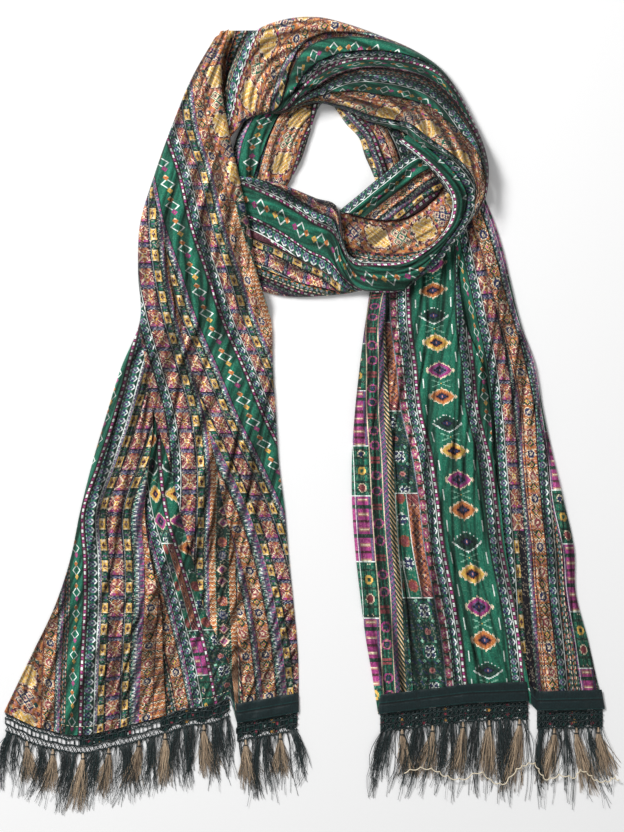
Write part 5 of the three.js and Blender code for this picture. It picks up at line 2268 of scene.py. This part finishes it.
    def build_gold(self, net: Net, tassel: GoldTassel, index: int) -> tuple[StrandMesh, StrandMesh]:
        """One gold tassel and the dark thread around its head.

        Args:
            net: the net that it hangs from.
            tassel: its place and length.
            index: its number.

        Returns:
            The tassel and the binding thread.
        """
        x, y = self.line(net)
        s, r = self.sizes, self.random
        cells = len(x) - 1
        middle = self.first_cell(tassel, cells) + 2
        cx = float(x[middle])
        top = float(y[middle]) + s.net_rows[-1] + 0.35
        lean = self.lean(net, middle / cells, tassel.length, cx) + r.uniform(-9, 9)
        length = tassel.length * r.uniform(0.86, 1.04)
        flare = r.uniform(9, 21)
        strands = StrandMesh(f"gold_strands_{index}")
        t = np.linspace(0, 1, 8)
        reach = s.gold_head + length
        for _ in range(s.gold_strands):
            own = reach * r.uniform(0.66, 1.02)
            start = r.uniform(-0.5, 0.5)
            fan = start * flare + r.normal(0, 2.2)
            head = np.clip(own * t / s.gold_head, 0, 1)
            loose = np.clip((own * t - s.gold_head) / max(own - s.gold_head, 1), 0, 1)
            px = cx + start * s.gold_head_width * (0.35 + 0.65 * head) + (lean + fan) * loose**1.2
            px = px + r.normal(0, 1.2) * np.sin(np.pi * loose)
            px = px + r.normal(0, 0.8) * np.sin(2.5 * np.pi * loose)
            py = top + own * t
            dome = math.sqrt(max(0.05, 1 - (2 * start) ** 2))
            pz = 0.6 + 2.9 * dome * r.uniform(0.3, 1.0) * (1 - 0.55 * loose)
            radius = s.strand_radius * r.uniform(0.8, 1.3) * (1 - 0.4 * loose)
            strands.add(np.stack([px, py, pz], 1), radius, float(np.clip(r.normal(0.5, 0.28), 0, 1)))
        wraps = StrandMesh(f"gold_wraps_{index}")
        for depth in s.wrap_depths:
            bend = np.linspace(-1, 1, 7)
            px = cx + bend * 2.2
            pz = 0.7 + 2.9 * np.sqrt(np.clip(1 - bend**2, 0, 1))
            wraps.add(np.stack([px, np.full(7, top + depth), pz], 1), 0.42, 0.1, 4)
        return strands, wraps


class Dupatta:
    """The whole piece: sheets, braids, nets, tassels and threads."""

    BRAID_DEPTH = 19.5
    BRAID_LIFT = 1.3
    BRAID_BULGE = 0.7
    BRAID_STEP = 1.2
    BRAID_EDGE = 0.9
    CHAIN_HEIGHT = 4.2
    CHAIN_TURNS = 9.0
    BRAIDS = (
        ("braid_left", LEFT_TAIL, 0.785, 1.0, "hem_braid_left"),
        ("braid_right_inner", RIGHT_TAIL, 0.0, 0.668, "hem_braid_right_inner"),
        ("braid_right_outer", RIGHT_TAIL, 0.672, 1.0, "hem_braid_right_outer"),
    )
    CHAIN = (
        (404, 772), (420, 768), (435, 770), (446, 776), (462, 779), (480, 772), (492, 781), (504, 783),
        (516, 770), (524, 765), (534, 763), (540, 772), (547, 779), (560, 775), (574, 777), (580, 770),
        (589, 774), (596, 780), (607, 781), (614, 777), (619, 781),
    )

    def __init__(self) -> None:
        """Starts with a bare floor and makes the weave."""
        self.weave = Weave().make()
        self.surface = Surface()
        self.sheets: dict[str, Piece] = {}
        self.skins: dict[str, tuple] = {}
        self.cuts: dict[str, tuple] = {}
        self.trims: dict[str, list] = {"left_tail": [], "right_tail": []}

    def build_sheets(self) -> None:
        """Lays every stretch in order, each on those before it."""
        materials = [printed(band).make(self.weave) for band in Band]
        for stretch in STRETCHES:
            self.surface.settle()
            drape = Drape(stretch, self.surface)
            drape.build()
            mesh = SheetMesh(drape)
            self.surface.cover(mesh.x, mesh.y, mesh.z)
            piece = mesh.build(f"{stretch.name}_cloth", materials)
            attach(piece, "root")
            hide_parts(stretch.name)
            self.sheets[stretch.name] = piece
            self.skins[stretch.name] = (mesh.x, mesh.y, mesh.z)
            cut = mesh.cut_size()
            self.cuts[stretch.name] = cut
            log.info("%s: %d faces, cut %.3f by %.3f m", piece.name, len(piece.data.polygons), *cut)

    def keep(self, piece: Piece, slot: str, *nodes: str, tail: str) -> None:
        """Fixes a trim piece to the body and notes the tail that it is sewn to.

        Args:
            piece: the trim piece.
            slot: name of a material slot; not used.
            nodes: CAD nodes that it replaces.
            tail: stretch that it is sewn to.
        """
        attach(piece, "root")
        if nodes:
            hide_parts(*nodes)
        self.trims[tail].append(piece)
        log.info("%s: %d faces", piece.name, len(piece.data.polygons))

    def build_braids(self) -> None:
        """Lays the two-band braid over the last stretch of cloth at each hem."""
        material = BRAID.make(self.weave)
        for name, tail, start, end, node in self.BRAIDS:
            x, y, z = self.skins[tail.name]
            hem_x, hem_y = x[-1], y[-1]
            width = hem_x.max() - hem_x.min()
            share = (hem_x - hem_x.min()) / width
            order = np.argsort(share)
            across = np.linspace(start, end, int((end - start) * width / self.BRAID_STEP))
            rows = np.linspace(0, self.BRAID_DEPTH, 15)
            px = np.interp(across, share[order], hem_x[order])
            py = np.interp(across, share[order], hem_y[order])
            gx = np.tile(px, (len(rows), 1))
            gy = py[None, :] - (self.BRAID_DEPTH - rows)[:, None]
            lean = np.interp(across, (0, 1), (-0.1, 0.17) if tail is RIGHT_TAIL else (0.0, 0.02))
            gx = gx - lean[None, :] * (self.BRAID_DEPTH - rows)[:, None]
            cloth = Surface(cell=2.5)
            cloth.cover(x, y, z)
            base = cloth.highest_at(gx, gy)
            band = (rows % (self.BRAID_DEPTH / 2)) / (self.BRAID_DEPTH / 2)
            bulge = self.BRAID_BULGE * np.sqrt(np.clip(1 - (2 * band - 1) ** 4, 0, 1))
            gz = base + self.BRAID_LIFT + bulge[:, None]
            gz[-1] -= 0.6
            rim = np.clip(np.minimum(np.arange(len(px)), len(px) - 1 - np.arange(len(px))) / 4.0, 0, 1)
            gz = self.BRAID_EDGE + (gz - self.BRAID_EDGE) * (0.35 + 0.65 * np.sqrt(1 - (1 - rim) ** 2))
            prints = np.meshgrid(across * width, rows)
            piece = grid_piece(name, (gx, gy, gz), prints, material)
            self.keep(piece, "teal_braid", node, tail=tail.name)

    def build_fringe(self) -> None:
        """Nets, locks and gold tassels."""
        fringe = Fringe(FringeSizes())
        teal = TEAL_THREAD.make()
        gold = GOLD_THREAD.make()
        backing = BACKING_CLOTH.make(self.weave)
        for net in NETS:
            tail = net.tail.name
            mesh = StrandMesh(f"{net.name}_threads")
            fringe.build_net(net, mesh)
            self.keep(mesh.build(teal), "teal_net", net.name, tail=tail)
        for index, strip in enumerate(BACKINGS, start=1):
            self.build_backing(fringe, strip, index, backing)
        for index, tassel in enumerate(GOLD_TASSELS, start=1):
            net = next(candidate for candidate in NETS if candidate.name == tassel.net)
            strands, wraps = fringe.build_gold(net, tassel, index)
            self.keep(strands.build(gold), "gold_thread", f"gold_tassel_{index}", tail=net.tail.name)
            self.keep(wraps.build(teal), "teal_net", tail=net.tail.name)

    def build_backing(self, fringe: Fringe, strip: Backing, index: int, material: Material) -> None:
        """Patterned cloth that shows through a net.

        Args:
            fringe: gives the net's upper edge.
            strip: where the cloth lies.
            index: its number.
            material: its finish.
        """
        net = next(candidate for candidate in NETS if candidate.name == strip.net)
        x, y = fringe.line(net)
        share = np.linspace(strip.start, strip.end, 60) * (len(x) - 1)
        x, y = np.interp(share, np.arange(len(x)), x), np.interp(share, np.arange(len(y)), y)
        depths = np.linspace(0, 1, 9)
        reach = strip.depth * (1 + 0.12 * np.sin(x * 0.35))
        gx = np.tile(x, (len(depths), 1))
        gy = y[None, :] + depths[:, None] * reach[None, :]
        gz = 0.7 + 0.3 * np.sin(gx * 0.9 + gy * 0.4)
        piece = grid_piece(f"{net.name}_backing_{index}", (gx, gy, gz), (gx, gy), material)
        self.keep(piece, "teal_net", tail=net.tail.name)

    def build_threads(self) -> None:
        """Cream chain stitch across the right tassels, and the stitched line along the left hem."""
        cream = CREAM_THREAD.make()
        chain = StrandMesh("chain_thread")
        points = np.array(self.CHAIN, float)
        place = np.linspace(0, len(points) - 1, 260)
        px = curve_through(points[:, 0], place)
        py = curve_through(points[:, 1], place)
        curl = place * self.CHAIN_TURNS
        pz = self.CHAIN_HEIGHT + 0.4 * np.sin(curl)
        path = np.stack([px + 0.9 * np.sin(curl), py + 1.1 * np.cos(curl), pz], 1)
        chain.add(path, 0.55, 0.9, 4)
        self.keep(chain.build(cream), "gold_thread", tail="right_tail")
        stitch = StrandMesh("hem_stitch")
        x, y, z = self.skins["left_tail"]
        row = -4
        share = (x[row] - x[row].min()) / (x[row].max() - x[row].min())
        chosen = np.where((share > 0.02) & (share < 0.77))[0]
        line = np.stack([x[row, chosen], y[row, chosen], z[row, chosen] + 0.15], 1)
        for start in range(0, len(line) - 4, 4):
            stitch.add(line[start : start + 3], 0.3, 0.75, 4)
        self.keep(stitch.build(cream), "gold_thread", tail="left_tail")


def grid_piece(name: str, grids: tuple, prints: tuple, material: Material) -> Piece:
    """Makes a sheet from grids.

    Args:
        name: piece name.
        grids: layout x, y and height of the points.
        prints: print coordinates of the points.
        material: its finish.

    Returns:
        The object, linked to the scene.
    """
    points = Plan.to_row(*grids).reshape(-1, 3)
    ids = np.arange(len(points)).reshape(grids[0].shape)
    faces = np.stack([ids[:-1, :-1], ids[1:, :-1], ids[1:, 1:], ids[:-1, 1:]], -1).reshape(-1, 4)
    corners = np.stack([part.ravel()[faces.ravel()] for part in prints], 1)
    return linked_mesh(name, points, faces.tolist(), [material], {"print": corners})


@dataclass(frozen=True)
class StageSizes:
    """Camera, lights and floor, in metres."""

    camera_distance: float = 6.0
    photo_height: float = 0.832
    photo_centre: tuple = (0.0076, -0.0016)
    sensor: float = 36.0
    floor: float = 6.0
    key_power: float = 58.0
    world_strength: float = 0.34
    fill_share: float = 0.14
    clip: float = 20.0


class Stage:
    """Floor, lights and camera."""

    def __init__(self, sizes: StageSizes) -> None:
        """Keeps the sizes."""
        self.sizes = sizes

    def build(self) -> None:
        """Sets everything around the cloth."""
        self.build_floor()
        self.build_lights()
        self.build_camera()

    def build_floor(self) -> None:
        """A pale plain floor."""
        bpy.ops.object.select_all(action="DESELECT")
        bpy.ops.mesh.primitive_plane_add(size=self.sizes.floor, location=(0, 0, 0))
        floor = bpy.context.object
        floor.name = "floor"
        floor.data.materials.append(FLOOR.make())

    def build_lights(self) -> None:
        """A large soft light from the upper left, a weak one from the right, and a pale world."""
        for name, place, power, size in (
            ("key", (-1.3, 1.2, 1.6), self.sizes.key_power, 0.7),
            ("fill", (1.6, -0.6, 1.8), self.sizes.key_power * self.sizes.fill_share, 1.6),
        ):
            data = bpy.data.lights.new(name, "AREA")
            data.energy = power
            data.size = size
            light = bpy.data.objects.new(name, data)
            bpy.context.collection.objects.link(light)
            light.location = place
            reach = math.hypot(place[0], place[1])
            light.rotation_euler = (math.atan2(reach, place[2]), 0, math.atan2(place[0], -place[1]))
        world = bpy.data.worlds.new("pale")
        bpy.context.scene.world = world
        world.use_nodes = True
        background = world.node_tree.nodes["Background"]
        background.inputs[0].default_value = (1, 1, 1, 1)
        background.inputs[1].default_value = self.sizes.world_strength

    def build_camera(self) -> None:
        """A long lens straight above, framed as the photo is."""
        data = bpy.data.cameras.new("camera")
        data.sensor_fit = "VERTICAL"
        data.sensor_height = self.sizes.sensor
        data.lens = self.sizes.sensor * self.sizes.camera_distance / self.sizes.photo_height
        data.clip_end = self.sizes.clip
        camera = bpy.data.objects.new("camera", data)
        bpy.context.collection.objects.link(camera)
        camera.location = (*self.sizes.photo_centre, self.sizes.camera_distance)
        bpy.context.scene.camera = camera
        bpy.context.scene.view_settings.view_transform = "Standard"


def main() -> None:
    """Builds the dupatta and its stage and finishes the scene."""
    logging.basicConfig(level=logging.INFO)
    dupatta = Dupatta()
    dupatta.build_sheets()
    dupatta.build_braids()
    dupatta.build_fringe()
    dupatta.build_threads()
    Stage(StageSizes()).build()


if __name__ == "__main__":
    main()
